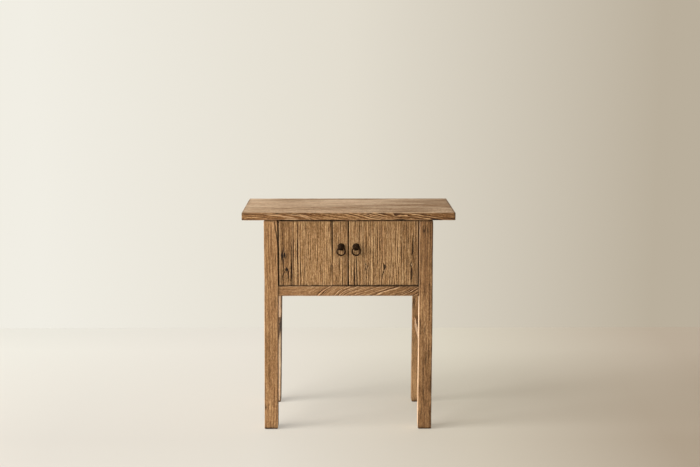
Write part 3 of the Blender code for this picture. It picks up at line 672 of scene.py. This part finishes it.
elmBase = dict(
    dark=paint(83, 52, 30), middle=paint(157, 116, 76), light=paint(212, 170, 122),
    silver=paint(134, 127, 110), silverShare=0.4, paleDark=paint(178, 146, 114), paleLight=paint(232, 206, 175),
    rubbedAndHighlight=paint(194, 157, 117), dirt=paint(50, 31, 16), hollow=paint(26, 16, 9),
    ringContrast=0.45, bandContrast=0.5, fibreContrast=0.55, mottle=0.85, crest=0.0, bump=0.5, bumpDepth=0.0006,
    silverSpan=(0.4, 0.68), toneShare=0.22, poreShare=0.5, specular=0.18,
)
looks = {
    "frameElm": elmBase,
    "topElm": dict(
        elmBase, dark=paint(75, 45, 23), middle=paint(131, 90, 52), light=paint(212, 171, 122),
        paleDark=paint(137, 102, 66), paleLight=paint(217, 188, 155), ringContrast=1.9, bandContrast=0.65, crest=0.7),
    "sillElm": dict(elmBase, light=paint(222, 185, 142), ringContrast=1.2, bandContrast=0.45, crest=0.75),
    "doorElm": dict(
        elmBase, dark=paint(67, 43, 24), middle=paint(149, 110, 70), light=paint(211, 173, 126), ringContrast=0.72,
        bandContrast=0.7, fibreContrast=0.75, mottle=0.95, silverShare=0.45),
    "innerElm": dict(elmBase, dark=paint(126, 92, 60), middle=paint(172, 134, 94), light=paint(196, 162, 121)),
}
finishes = {name: elmFinish(name, look) for name, look in looks.items()}
finishes["iron"] = ironFinish("iron", paint(23, 14, 5), paint(39, 25, 11), paint(74, 49, 25))
# the ring's iron is lighter: rubbed, and partly a painted highlight where it catches the light
finishes["rubbedAndLitIron"] = ironFinish("rubbedAndLitIron", paint(28, 17, 7), paint(46, 29, 13), paint(84, 58, 31))
print("finishes made:", len(finishes))


# Legs

legTenon = (0.014, 0.024, 0.024)
legWood = dict(
    woodBase, tenons=(None, legTenon), arris=0.0012, endRound=0.0062, relief=0.0004, wander=0.0035,
    # darker towards the foot, with painted shade along each foot's bottom edge, and darker just under the top
    grime=(("z", 0.0, 0.012, 0.8), ("z", 0.0, 0.004, 5.0), ("z", 0.8207, 0.006, 0.5)),
)
legs = {
    "leg_front_left": dict(
        legWood, seed=11, pith=(0.11, 0.10), tone=0.25, lean=(-0.0060, 0.60), relief=0.0003, figure=0.35,
        patches=(0.35, 3.0, 14.0),
        # painted shade along the inner edge, which faces away from the light
        stainsAndShade=(("x", -0.269, 0.0006, 1.2),),
        cracks=fineCracks(63, (-318, -272), (20, 800), (15, 50), 26, darks=(0.15, 0.45)) + (
            crackOf((815, -279, 1.3), (790, -276.2, 1.9), (752, -271.2, 2.2), (735, -270, 0.6), depth=2.5),
            crackOf((700, -277.2, 0), (672, -276.5, 1.3), (640, -275.2, 0), depth=1, dark=0.7),
        ),
        knots=(
            knotOf(502, -280, 10, 4.5, push=5, dark=0.35, depth=0.3),
            knotOf(87, -316.6, 4, 2.2, push=1, depth=1.2),
        ),
    ),
    "leg_front_right": dict(
        # its inner face is paler: painted light from the lamp on the left
        legWood, seed=27, pith=(-0.13, 0.07), tone=-0.45, relief=0.0005, bleachAndLight="left", figure=1.4,
        fade=((-0.41, 0.35), (0.1, 0.25), (0.18, 0.0)),
        # painted shade on the inner face beside the doors and along the outer edge, which faces away from the light
        stainsAndShade=(("x", 0.269, 0.0010, 0.6, 0.528, 0.82), ("x", 0.321, 0.0022, 2.6)),
        knots=(
            knotOf(779, 285.6, 5, 3, push=2, dark=0.75),
            knotOf(779, 300.8, 6, 3, push=2, dark=0.85),
            knotOf(396, 291.4, 8, 3.5, push=4, dark=0.6),
            knotOf(270, 297, 9, 3.5, push=4, dark=0.6),
        ),
        cracks=fineCracks(67, (272, 319), (20, 810), (20, 80), 40) + (
            crackOf((180, 285.5, 0), (150, 288, 1.4), (100, 290.5, 0), depth=1.2, dark=0.6),
            crackOf((240, 316, 0), (190, 316.5, 1.6), (120, 316, 0), depth=1.2, dark=0.8),
        ),
    ),
    "leg_rear_left": dict(
        legWood, seed=43, pith=(0.12, -0.09), tone=0.5, lean=(-0.012, 0.62), bleachAndLight="under", bleachAndLightShare=0.8,
        # painted shadow of the stretcher beside its joint, and painted shade along the inner edge
        stainsAndShade=(("x", -0.269, 0.008, 1.8, 0.325, 0.362), ("x", -0.269, 0.0026, 1.8)),
    ),
    "leg_rear_right": dict(
        legWood, seed=58, pith=(-0.10, -0.11), tone=1.25, relief=0.0002, figure=0.4, lean=(-0.0045, 0.9),
        # painted shade along the inner edge
        stainsAndShade=(("x", 0.269, 0.0012, 0.8),),
        knots=(knotOf(430, 276, 12, 5, dark=0.6, depth=2),),
    ),
}
makeBoards("legs made:", legs)


# Rails, stretchers and panels

tenonLength, tenonThick = 0.018, 0.012


# The same tenon at both ends of a rail.
def railTenons(height):
    return ((tenonLength, tenonThick, height),) * 2


railWood = dict(
    woodBase, axes="xyz", arris=0.0022, endRound=0.0006, pitch=(0.0036, 0.0010, 0.0018), relief=0.0002,
    pith=(0.06, 0.11),
)
crossRails = {
    "front_lower_rail": dict(
        railWood, seed=71, show=(0, 0, 1, 1), tenons=railTenons(0.022), finish="sillElm", relief=0.0008,
        pith=(0.05, -0.06), ringWidth=0.0066, wander=0.0012, ripple=0.0014, arris=0.0014, streaks=(-0.2, 0.6),
        figure=((-0.27, 0.4), (-0.15, 0.5), (-0.11, 1.3), (0.0, 1.3), (0.05, 0.8), (0.10, 1.0), (0.18, 1.5)),
        drift=((-0.27, 0.0), (-0.20, -0.002), (-0.14, -0.012), (-0.11, -0.026), (-0.08, -0.043), (-0.05, -0.060),
               (-0.02, -0.075), (0.01, -0.085), (0.05, -0.094), (0.09, -0.102), (0.13, -0.110), (0.17, -0.119),
               (0.21, -0.129), (0.24, -0.139), (0.27, -0.151)),
        fade=((-0.27, 0.5), (-0.12, 0.4), (0.0, 0.0), (0.10, -0.6), (0.27, -0.5)), patches=(0.8, 8.0, 14.0),
        # painted shade along the top edge under the doors and along the bottom edge; dark joints at the ends
        grime=(("z", 0.566, 0.0010, 0.6), ("z", 0.566, 0.0014, 2.5, 0.004, 0.28), ("x", -0.269, 0.002, 0.8),
               ("x", 0.269, 0.0035, 1.2), ("z", 0.528, 0.002, 0.5)),
    ),
    "front_upper_rail": dict(
        railWood, seed=75, tenons=railTenons(0.018), show=(0, 0, 0, 1), backOff=0.0016, finish="innerElm",
        # painted shade in the gap above the doors
        grime=(("z", 0.820, 0.004, 2.0),)),
    "rear_lower_rail": dict(railWood, seed=79, tenons=railTenons(0.022), show=(1, 0, 0, 1)),
    "rear_upper_rail": dict(railWood, seed=83, tenons=railTenons(0.018), show=(1, 0, 0, 0)),
}
sideWood = dict(railWood, axes="yxz", pitch=(0.0036, 0.0011, 0.0018))
sideBars = {}
for number, side in enumerate(("left", "right")):
    outward = (0, 0, 1, 0) if side == "left" else (1, 0, 0, 0)
    sideBars["side_lower_rail_" + side] = dict(sideWood, seed=91 + number, tenons=railTenons(0.022), show=outward)
    sideBars["side_upper_rail_" + side] = dict(sideWood, seed=101 + number, tenons=railTenons(0.018), show=outward)
    # left faces paler: painted light from the lamp on the left; the left stretcher gets painted shade on its inner
    # face
    sideBars["side_stretcher_" + side] = dict(
        sideWood, seed=111 + number, tenons=railTenons(0.025), tone=0.15, bleachAndLight="left", bleachAndLightShare=0.6,
        grime=(("x", -0.275, 0.004, 2.4, 0.03, 0.2),) if side == "left" else ())
    sideBars["side_panel_" + side] = dict(
        sideWood, seed=121 + number, axes="yzx", arris=0.001, pitch=(0.0045, 0.0013, 0.0013), pith=(0.05, -0.08),
        wander=0.006)
backWood = dict(railWood, axes="xzy", arris=0.001, finish="innerElm", slot="inner_elm", pitch=(0.005, 0.0014, 0.002),
                wander=0.006, show=(0, 1, 0, 0))
backBoards = {
    "back_board_lower": dict(backWood, seed=131, pith=(0.03, -0.07)),
    "back_board_upper": dict(backWood, seed=136, pith=(-0.05, -0.09)),
}
floorWood = dict(backWood, axes="xyz", pitch=(0.005, 0.0016, 0.0022), show=(0, 1, 0, 1))
floorBoards = {
    "cupboard_floor_front": dict(floorWood, seed=141, pith=(0.02, -0.08)),
    "cupboard_floor_middle": dict(floorWood, seed=146, pith=(-0.06, -0.06)),
    "cupboard_floor_rear": dict(floorWood, seed=151, pith=(0.05, -0.09)),
    "floor_ledger_left": dict(floorWood, seed=156, axes="yxz", pith=(0.05, 0.05)),
    "floor_ledger_right": dict(floorWood, seed=161, axes="yxz", pith=(0.04, 0.06)),
}
makeBoards("rails, panels and boards made:", {**crossRails, **sideBars, **backBoards, **floorBoards})


# Top

topWood = dict(
    woodBase, axes="xyz", finish="topElm", slot="top_elm", arris=0.0008, endRound=0.0018, show=(1, 1, 1, 0),
    # the top is paler, from bleaching and dust and as painted sheen, and darker to the right as painted falloff of the
    # light
    pitch=(0.0045, 0.0011, 0.0024), relief=0.00022, wander=0.005, ringWidth=0.0062, bleachAndLight="over",
    fade=((-0.404, 0.7), (0.0, 0.5), (0.12, 0.2), (0.22, -0.5), (0.404, -1.1)), patches=(1.8, 4.5, 26.0),
    grime=(("x", -0.404, 0.004, 1.2), ("x", 0.404, 0.004, 1.4)),
)
edgeKnot, edgeCrack = partial(knotOf, face="left"), partial(crackOf, face="left")  # on the front edge
edgeLight = partial(edgeCrack, depth=0, dark=0.0)  # a painted highlight line there
topPlanks = {
    "top_plank_front": dict(
        topWood, seed=171, pith=(0.10, -0.10), wander=0.002, ripple=0.0010, relief=0.0009, ringWidth=0.0047,
        arris=(0.0008, 0.0016), chips=0.002, streaks=(-0.2, 0.6), tone=-0.3,
        fade=((-0.404, -0.25), (-0.33, -0.3), (-0.18, -0.4), (-0.12, 0.0), (0.1, 0.0), (0.24, -0.4), (0.404, -0.8)),
        drift=((-0.40, 0.0), (-0.32, 0.002), (-0.22, 0.007), (-0.17, 0.012), (-0.13, 0.018), (-0.07, 0.024),
               (0.0, 0.030), (0.07, 0.039), (0.13, 0.045), (0.17, 0.048), (0.22, 0.051), (0.27, 0.056),
               (0.32, 0.061), (0.40, 0.066)),
        figure=((-0.40, 0.3), (-0.33, 0.6), (-0.30, 2.0), (0.12, 2.0), (0.18, 0.9), (0.24, 0.8), (0.30, 1.3),
                (0.40, 0.9)),
        knots=(
            edgeKnot(176, 839, 6, 4, push=4, dark=0.25, depth=0.5),
            edgeKnot(205, 834, 7, 5, push=4, dark=0.15, depth=0.5),
            edgeKnot(236, 838, 5, 3, push=3, dark=0.3, depth=0.5),
            edgeKnot(-272, 847, 5, 2, push=0, depth=1),
        ),
        cracks=fineCracks(71, (-185, -85), (-50, 390), (60, 200), 7, (1, 1.8), face="over") + (
            crackOf((185, -190.5, 0), (200, -190, 2.6), (222, -189.8, 0), face="over", depth=1, dark=0.9),
            edgeCrack((-370, 846, 0), (-270, 845.5, 1.8), (-160, 846, 1.4), (20, 846.2, 1.6), (160, 845.8, 1.8),
                      (300, 846.2, 1.2), (390, 846.4, 0), depth=0.6, dark=0.6),
            edgeCrack((165, 821.5, 0), (182, 822.5, 2.8), (206, 823, 4), (222, 821.5, 0), depth=2),
            edgeCrack((300, 821.5, 0), (318, 822.5, 3), (336, 822.5, 3.4), (350, 821.5, 0), depth=2),
            # painted highlight lines along the front edge
            edgeLight((-324, 844, 0), (-300, 842.5, 2.4), (-270, 839.8, 2.5), (-222, 833, 2.6), (-188, 827, 0),
                      pale=1.3),
            edgeLight((-240, 842.5, 0), (-207, 841, 2), (-175, 838, 2.2), (-153, 830.6, 2), (-140, 827, 0), pale=1.2),
            edgeLight((-243, 825, 0), (-237, 825, 4.2), (-205, 824.5, 3.6), (-186, 823.5, 0), pale=1.2),
        ),
        # painted shade in the gap under the front edge
        stainsAndShade=(("z", 0.821, 0.0012, 4.0, -0.262, -0.01),),
    ),
    "top_plank_middle": dict(
        topWood, seed=176, pith=(-0.15, -0.05),
        cracks=fineCracks(73, (-55, 65), (-200, 390), (80, 250), 8, (1, 2), face="over"),
    ),
    "top_plank_rear": dict(
        topWood, seed=181, pith=(0.14, -0.07), show=(1, 1, 0, 0), arris=(0.0016, 0.0008),
        stainsAndShade=(("y", 0.21, 0.012, 0.6, -0.17, 0.16),),
        cracks=fineCracks(79, (85, 205), (-300, 390), (80, 250), 9, (1, 2.2), face="over"),
    ),
}
battenWood = dict(floorWood, axes="yxz", arris=0.002, show=(1, 0, 1, 1), pitch=(0.005, 0.0014, 0.002))
topBattens = {
    "top_batten_left": dict(battenWood, seed=186),
    "top_batten_right": dict(battenWood, seed=189),
}
makeBoards("top made:", {**topPlanks, **topBattens})


# Doors

doorWood = dict(
    woodBase, finish="doorElm", slot="door_elm", arris=0.0014, endRound=0.0014, pitch=(0.0026, 0.0008, 0.0018),
    show=(0, 0, 0, 1), relief=0.0006, wander=0.003, ripple=0.0009, ringWidth=0.0068, chips=0.0009,
    # painted shade in the gaps along the bottom and top edges
    grime=(("z", 0.5685, 0.0024, 1.9), ("z", 0.818, 0.0008, 1.8)),
)
doorCracks = partial(fineCracks, span=(570, 817), lengths=(50, 200))
leftPlanks = {
    "plank_hinge": dict(
        doorWood, seed=201, pith=(0.12, 0.03), arris=(0.0006, 0.0055), turnRound=(-0.256, 0.0100), tone=-0.35,
        knots=(
            knotOf(682, -252, 11, 3.6, dark=1.4, heart=1.0),
            knotOf(688, -243.1, 6, 3, push=4, dark=1.3, heart=1.0),
            knotOf(680, -238.5, 5, 2.6, push=2, dark=0.7, heart=0.8),
            knotOf(631, -235, 4.5, 5, push=7, dark=1.6, heart=1.2),
        ),
        cracks=(
            crackOf((722, -248, 0), (705, -247.9, 2), (692, -248.2, 1.6), dark=0.8),
            crackOf((672, -248.4, 1.2), (655, -247.9, 2), (628, -249, 0), dark=0.85),
            crackOf((632, -238.5, 1), (623, -243, 1.8), (608, -250, 2.2), (578, -252.1, 0), dark=0.85),
            crackOf((632, -231, 1), (624, -229, 2.2), (600, -228.3, 2.2), (582, -228.1, 0), dark=0.95),
            crackOf((608, -235.8, 0), (595, -235.7, 1.6), (580, -235.5, 0), dark=0.7),
            crackOf((765, -216.6, 0), (720, -216.4, 1.4), (665, -216.3, 1.8), (645, -216, 3.4),
                    (612, -215.6, 3.2), (590, -215, 2.4), (569, -214.8, 2.4), depth=2.8),
        ),
        # painted shade in the gap beside the leg
        stainsAndShade=(("x", -0.266, 0.0016, 2.6),),
    ),
    "plank_middle": dict(
        doorWood, seed=207, pith=(0.126, 0.04), tone=0.3, arris=0.0006, figure=0.9,
        cracks=doorCracks(151, (-208, -70), count=13) + (
            crackOf((758, -194.5, 0), (730, -194.5, 1.9), (690, -194.2, 2.2), (655, -194, 0), dark=0.85),
            crackOf((670, -181.5, 0), (630, -180.5, 2.2), (580, -178, 0), dark=0.6),
            crackOf((660, -166, 0), (620, -165, 1.8), (590, -164, 0), dark=0.55),
            crackOf((820, -64, 3.4), (740, -63.6, 2.6), (695, -63.6, 0), depth=2),
        ),
        knots=(knotOf(637, -65.5, 10, 3.5, push=5, dark=0.7, heart=0.1),),
    ),
    "plank_meeting": dict(
        doorWood, seed=213, pith=(-0.14, 0.05), arris=(0.0024, 0.0006),
        # painted shade in the gap between the doors
        stainsAndShade=(("x", -0.001, 0.0014, 1.2), ("x", -0.001, 0.003, 1.8, 0.57, 0.645)),
        cracks=doorCracks(61, (-54, -6), count=5) + (
            crackOf((820, -62.6, 4.4), (760, -61.8, 4.4), (720, -60.8, 3.4), (690, -60.2, 1.4), (640, -59.6, 0),
                    depth=3),
            crackOf((685, -33.8, 0), (650, -33.8, 2), (590, -33.2, 0), dark=0.8),
            crackOf((630, -21, 0), (605, -20.8, 1.8), (580, -21, 0), dark=0.65),
        ),
    ),
}
# more painted shade in the gap under the right door
rightWood = dict(doorWood, grime=doorWood["grime"] + (("z", 0.5685, 0.0018, 5.0),), figure=1.2)
rightPlanks = {
    "plank_meeting": dict(
        rightWood, seed=219, pith=(0.13, 0.03), ringWidth=0.0062, tone=0.3, arris=(0.0005, 0.0032),
        cracks=doorCracks(53, (6, 52), count=6) + (
            crackOf((690, 10.5, 0), (660, 10.8, 1.8), (610, 10.7, 1.8), (580, 11, 0), dark=0.6),
            crackOf((670, 21.2, 0), (630, 21.4, 1.8), (600, 21.6, 2.6), (569, 22, 2.6), dark=0.9),
            crackOf((700, 29.6, 0), (665, 30, 2.4), (620, 30.5, 2.6), (600, 31.8, 1.8), (569, 33.5, 2.2),
                    dark=0.9),
            crackOf((670, 43.6, 0), (630, 43.8, 1.8), (575, 44.4, 1.6), dark=0.6),
        ),
    ),
    "plank_middle": dict(
        rightWood, seed=225, pith=(0.12, 0.05), wander=0.004, ringWidth=0.0062, ripple=0.0013, tone=0.2, arris=0.0005,
        knots=(
            knotOf(651, 64.6, 3, 2.4, push=2, dark=0.9, heart=1.0),
            knotOf(640, 67.4, 9, 3, push=4, dark=0.5, heart=0.0, pale=1.0),
            knotOf(643, 72.2, 4, 2.2, push=0, dark=0.8, heart=1.0),
            knotOf(642, 138.5, 8, 4, push=5, dark=0.95, heart=0.8),
            knotOf(627, 133.8, 5, 2.6, push=1, dark=0.3, heart=0.0, pale=1.0),
        ),
        cracks=doorCracks(57, (60, 200), count=17) + (
            crackOf((646, 140, 0), (638, 139, 2.2), (628, 137.5, 0), dark=0.9),
            crackOf((624, 132.5, 1.6), (612, 130.8, 2.6), (590, 129, 0), dark=0.8),
        ),
    ),
    "plank_hinge": dict(
        rightWood, seed=231, pith=(-0.16, 0.04), arris=(0.0055, 0.0005), turnRound=(0.256, 0.0100), tone=0.25,
        # painted shade in the gap beside the leg
        stainsAndShade=(("x", 0.266, 0.0020, 2.4),),
        knots=(knotOf(650, 238.5, 8, 4.5, dark=0.75, heart=0.0, pale=0.9),),
        cracks=doorCracks(59, (208, 258), count=6) + (
            crackOf((775, 245.5, 0), (740, 244.5, 3), (700, 242.8, 3.4), (672, 240.5, 0), dark=0.95),
            crackOf((642, 242.5, 0), (632, 240.2, 3), (611, 240.5, 3.6), (580, 239.5, 1), dark=0.95),
        ),
    ),
}
doorBatten = dict(battenWood, axes="xzy", show=(1, 1, 1, 0))
doorBoards = {}
for side, planks, seed in (("left", leftPlanks, 260), ("right", rightPlanks, 265)):
    battens = {"batten_upper": dict(doorBatten, seed=seed), "batten_lower": dict(doorBatten, seed=seed + 1)}
    for name, wood in {**planks, **battens}.items():
        doorBoards[f"door_{side}_{name}"] = dict(wood, body=side + "_door")
makeBoards("doors made:", doorBoards)


# Ring pulls

ironBase = dict(finish="iron", slot="iron")
pull = dict(
    rosetteRadius=0.0141, rosetteRim=0.0016, rosetteHeight=0.0057, lip=0.0004, bore=0.00285, seatGap=0.0003,
    eyeRadius=0.0047, wire=0.0012, strand=0.00135, bend=0.0015, tail=0.012, hammer=0.00012,
    ringRadius=0.0153, ringWire=0.0030, ringDepth=0.0024, ringHang=0.0005, ringLift=0.0003,
    rosetteTurns=72, ringTurns=96, ringSteps=20, wireSteps=14,  # mesh
)


# A closed outline of (out, up) points spun about an axis along -Y, pushed by a soft hammered noise.
def spinOutline(name, outline, centre, turns, seed):
    out, up = np.array(outline).T
    angle = np.linspace(0, 2 * math.pi, turns, endpoint=False)[:, None]
    beat = pull["hammer"] * softNoise(seed, np.cos(angle) * 3.1, np.sin(angle) * 3.1, up * 400 + out * 260)
    reach = out + beat
    points = np.stack([reach * np.cos(angle), -(up + beat), reach * np.sin(angle)], -1) + centre
    steps = len(out)
    turn, step = np.arange(turns)[:, None] * steps, np.arange(steps)[None]
    nextTurn, nextStep = (turn + steps) % (turns * steps), (step + 1) % steps
    quads = np.stack([turn + step, nextTurn + step, nextTurn + nextStep, turn + nextStep], -1).reshape(-1, 4)
    return makeMesh(name, points.reshape(-1, 3), quads)


# Flat back, thin rolled rim, dome and bore.
def rosetteOutline():
    radius, rimTop, gap, bore = (pull[name] for name in ("rosetteRadius", "rosetteRim", "seatGap", "bore"))
    dome = radius - pull["lip"]
    rise = np.linspace(0.06, math.acos(bore / dome), 16)
    crown = np.stack([dome * np.cos(rise), rimTop + (pull["rosetteHeight"] - rimTop) * np.sin(rise)], 1)
    roll = np.linspace(-math.pi / 2, math.pi / 2, 8)
    half = (rimTop - gap) / 2
    rim = np.stack([radius - half + half * np.cos(roll), gap + half + half * np.sin(roll)], 1)
    return np.concatenate([[(bore, gap), (radius * 0.6, gap)], rim, crown])


# A round wire along points that stay at one X, closed by a small dome at each end.
def makeWire(name, route, wire, seed):
    tangent = np.gradient(route, axis=0)
    tangent /= np.linalg.norm(tangent, axis=1)[:, None]
    side = np.array([1.0, 0.0, 0.0])
    up = np.cross(tangent, side)
    angle = np.linspace(0, 2 * math.pi, pull["wireSteps"], endpoint=False)
    turnX, turnUp = np.cos(angle), np.sin(angle)
    caps = np.array([(-0.5, 0.86), (-0.86, 0.5)]) * wire  # place past the end and radius
    first, last = route[:1] + tangent[:1] * caps[::-1, :1], route[-1:] - tangent[-1:] * caps[:, :1]
    size = np.concatenate([caps[::-1, 1], np.full(len(route), wire), caps[:, 1]])[:, None]
    size = size * (1 + 0.06 * softNoise(seed, np.arange(len(size))[:, None] * 0.4, turnX * 2, turnUp * 2))
    route = np.concatenate([first, route, last])
    up = np.concatenate([up[:1], up[:1], up, up[-1:], up[-1:]])
    points = route[:, None] + size[..., None] * (turnX[:, None] * side + turnUp[None, :, None] * up[:, None])
    points = np.concatenate([points.reshape(-1, 3), points[[0, -1]].mean(1)])
    return makeMesh(name, points, *gridFaces(*size.shape))


# Route of the split pin: down the door's back, through to the eye, round it, and back the same way.
def cotterRoute(eye, doorBack):
    bend, radius = pull["bend"], pull["eyeRadius"]
    bore = pull["strand"] + bend
    bendTurn = np.linspace(math.pi, 1.5 * math.pi, 7)
    bendY = doorBack - bend * np.cos(bendTurn)
    bendZ = eye[2] + bore + bend * np.sin(bendTurn)
    neck = math.pi - math.asin(pull["strand"] / radius)
    eyeTurn = np.linspace(neck, -neck, 40)
    tailZ = np.linspace(eye[2] + bore + pull["tail"], bendZ[0], 6)[:-1]
    shankY = np.linspace(bendY[-1], eye[1] - radius * math.cos(neck), 8)[1:-1]
    upperY = np.concatenate([np.full(len(tailZ), bendY[0]), bendY, shankY])
    upperZ = np.concatenate([tailZ, bendZ, np.full(len(shankY), bendZ[-1])])
    routeY = np.concatenate([upperY, eye[1] - radius * np.cos(eyeTurn), upperY[::-1]])
    routeZ = np.concatenate([upperZ, eye[2] + radius * np.sin(eyeTurn), 2 * eye[2] - upperZ[::-1]])
    return np.stack([np.full(len(routeY), eye[0]), routeY, routeZ], 1)


turn = np.linspace(0, 2 * math.pi, pull["ringSteps"], endpoint=False)
ringOutline = np.stack([pull["ringRadius"] + pull["ringWire"] * np.cos(turn), pull["ringDepth"] * np.sin(turn)], 1)
for number, side in enumerate(("left", "right")):
    rosetteNode, cotterNode, ringNode = (f"door_{side}_pull_{name}" for name in ("rosette", "cotter", "ring"))
    ringCentre = np.mean(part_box(ringNode), 0) + [0, 0, pull["ringLift"]]
    eye = ringCentre + [0, 0, pull["ringRadius"] + pull["ringHang"]]
    doorFace, doorBack = (corner[1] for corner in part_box(f"door_{side}_plank_meeting"))
    seat = np.array([eye[0], doorFace, eye[2]])
    rosette = spinOutline(pieceName(rosetteNode), rosetteOutline(), seat, pull["rosetteTurns"], 301 + number)
    cotter = makeWire(pieceName(cotterNode), cotterRoute(eye, doorBack), pull["wire"], 311 + number)
    ring = spinOutline(pieceName(ringNode), ringOutline, ringCentre, pull["ringTurns"], 321 + number)
    dress(rosette, rosetteNode, dict(ironBase, body=side + "_door"))
    dress(cotter, cotterNode, dict(ironBase, body=side + "_door"))
    dress(ring, ringNode, dict(ironBase, finish="rubbedAndLitIron", body=side + "_ring"))
    for name in ("pivot_upper", "pivot_lower", "pivot_washer"):  # these keep their CAD shape
        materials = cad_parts[f"door_{side}_{name}"].data.materials
        materials.clear()
        materials.append(finishes["iron"])
print("pulls made")


# Stage, light and camera

stage = dict(
    floorReach=7.0, wallPlace=1.49, wallWidth=4.6, wallHeight=3.4, roomSpan=(-1.6, 1.6), floorSpan=(-0.33, 1.02),
    floor=paint(204, 196, 182), floorSeen=paint(218, 213, 201), floorGlow=0.55, floorRough=0.85,
    floorNear=((0.15, paint(197, 191, 185)), (0.40, paint(217, 210, 199)), (0.65, paint(199, 185, 162)),
               (0.88, paint(154, 125, 88))),
    floorFar=((0.02, paint(241, 239, 230)), (0.35, paint(243, 236, 225)), (0.65, paint(235, 226, 204)),
              (1.0, paint(194, 172, 145))),
    wall=((0.0, paint(241, 238, 228)), (0.5, paint(227, 221, 207)), (1.0, paint(186, 175, 156))),
    world=((0.0, grey(0.06)), (1.0, grey(0.55))), worldSeen=paint(226, 220, 206), toLight=(-0.3, 0.4, 0.0),
)


# A flat sheet between corners, as one quad.
def makeSheet(name, corners):
    return makeMesh(name, np.array(corners, float), np.array([[0, 1, 2, 3]]))


# X, Y and Z of each point of a piece.
def placeIn(tree):
    return addNode(tree, "SeparateXYZ", {0: addNode(tree, "TexCoord").outputs["Object"]}).outputs


# The room's glow from left to right, darker to the right as a painted falloff of the light from the left.
def acrossRoom(tree, place, stops):
    return rampOf(tree, spreadOf(tree, place["X"], *stage["roomSpan"]), stops)


# 1 where the camera, a reflection or a clear piece shows the surface, 0 where only light meets it.
def seenIn(tree):
    rays = addNode(tree, "LightPath").outputs
    shown = mathOf(tree, "MAXIMUM", rays["Is Camera Ray"], rays["Is Glossy Ray"])
    return mathOf(tree, "MAXIMUM", shown, rays["Is Transmission Ray"])


# Floor: it keeps the table's shadow; its own glow changes from left to right and from near to far as painted light.
reach = stage["floorReach"]
floor = makeSheet("floor", [(-reach, -reach, 0), (reach, -reach, 0), (reach, reach, 0), (-reach, reach, 0)])
floorFinish, tree, shader = newFinish("paleFloor")
seen, place = seenIn(tree), placeIn(tree)
colour = mixOf(tree, seen, stage["floor"], stage["floorSeen"])
feed(tree, shader.inputs, {"Base Color": colour, "Roughness": stage["floorRough"]})
near, far = (acrossRoom(tree, place, stage[name]) for name in ("floorNear", "floorFar"))
glow = mixOf(tree, spreadOf(tree, place["Y"], *stage["floorSpan"]), near, far)
glow = addNode(tree, "Emission", {"Color": glow}).outputs[0]
share = mathOf(tree, "MULTIPLY", seen, stage["floorGlow"])
blend = addNode(tree, "MixShader", {0: share, 1: shader.outputs[0], 2: glow}).outputs[0]
feed(tree, tree.nodes["Material Output"].inputs, {"Surface": blend})
floor.data.materials.append(floorFinish)

# Backdrop: it glows towards the front, with a painted falloff of the light to the right, is clear from behind,
# and gives no diffuse light and no shadow.
wide, tall, back = stage["wallWidth"] / 2, stage["wallHeight"], stage["wallPlace"]
wall = makeSheet("backdrop", [(-wide, back, 0), (wide, back, 0), (wide, back, tall), (-wide, back, tall)])
wallFinish, tree, shader = newFinish("paleBackdrop")
tree.nodes.remove(shader)
glow = addNode(tree, "Emission", {"Color": acrossRoom(tree, placeIn(tree), stage["wall"])}).outputs[0]
clear = addNode(tree, "BsdfTransparent").outputs[0]
behind = addNode(tree, "NewGeometry").outputs["Backfacing"]
blend = addNode(tree, "MixShader", {0: behind, 1: glow, 2: clear}).outputs[0]
feed(tree, tree.nodes["Material Output"].inputs, {"Surface": blend})
wall.data.materials.append(wallFinish)
wall.visible_diffuse = False
wall.visible_shadow = False

lamps = dict(
    window=dict(at=(-5.4, -1.5, 1.1), to=(0.0, -0.2, 0.6), size=(2.2, 1.8), power=440, colour=(1.0, 0.985, 0.95)),
    room=dict(at=(-2.2, -1.4, 3.0), to=(0.0, 0.0, 0.6), size=(2.6, 2.6), power=122, colour=(1.0, 0.99, 0.97)),
)
for name, lamp in lamps.items():
    data = bpy.data.lights.new(name, "AREA")
    data.shape = "RECTANGLE"
    data.size, data.size_y = lamp["size"]
    data.energy = lamp["power"]
    data.color = lamp["colour"]
    bulb = bpy.data.objects.new(name, data)
    bpy.context.scene.collection.objects.link(bulb)
    bulb.location = lamp["at"]
    aim = Vector(lamp["to"]) - bulb.location
    bulb.rotation_euler = aim.to_track_quat("-Z", "Y").to_euler()
    bulb.visible_camera = False

# World: a soft glow, strongest from the left and the back; the camera and reflections see one plain colour.
world = bpy.data.worlds.new("studio")
bpy.context.scene.world = world
world.use_nodes = True
tree = world.node_tree
heading = addNode(tree, "TexCoord").outputs["Generated"]
toLight = addNode(tree, "VectorMath", {0: heading, 1: stage["toLight"]}, operation="DOT_PRODUCT").outputs["Value"]
glow = rampOf(tree, mathOf(tree, "ADD", toLight, 0.5), stage["world"])
feed(tree, tree.nodes["Background"].inputs, {"Color": mixOf(tree, seenIn(tree), glow, stage["worldSeen"])})

view = dict(at=(-0.0263, -4.7744, 1.4995), tilt=0.1581, pan=0.0069, lens=62.9, sensor=36)
camera = bpy.data.objects.new("camera", bpy.data.cameras.new("camera"))
bpy.context.scene.collection.objects.link(camera)
camera.location = view["at"]
camera.rotation_euler = (math.pi / 2 - view["tilt"], 0, -view["pan"])
camera.data.lens = view["lens"]
camera.data.sensor_width = view["sensor"]
bpy.context.scene.camera = camera
bpy.context.scene.view_settings.view_transform = "Standard"
print("stage, light and camera set")
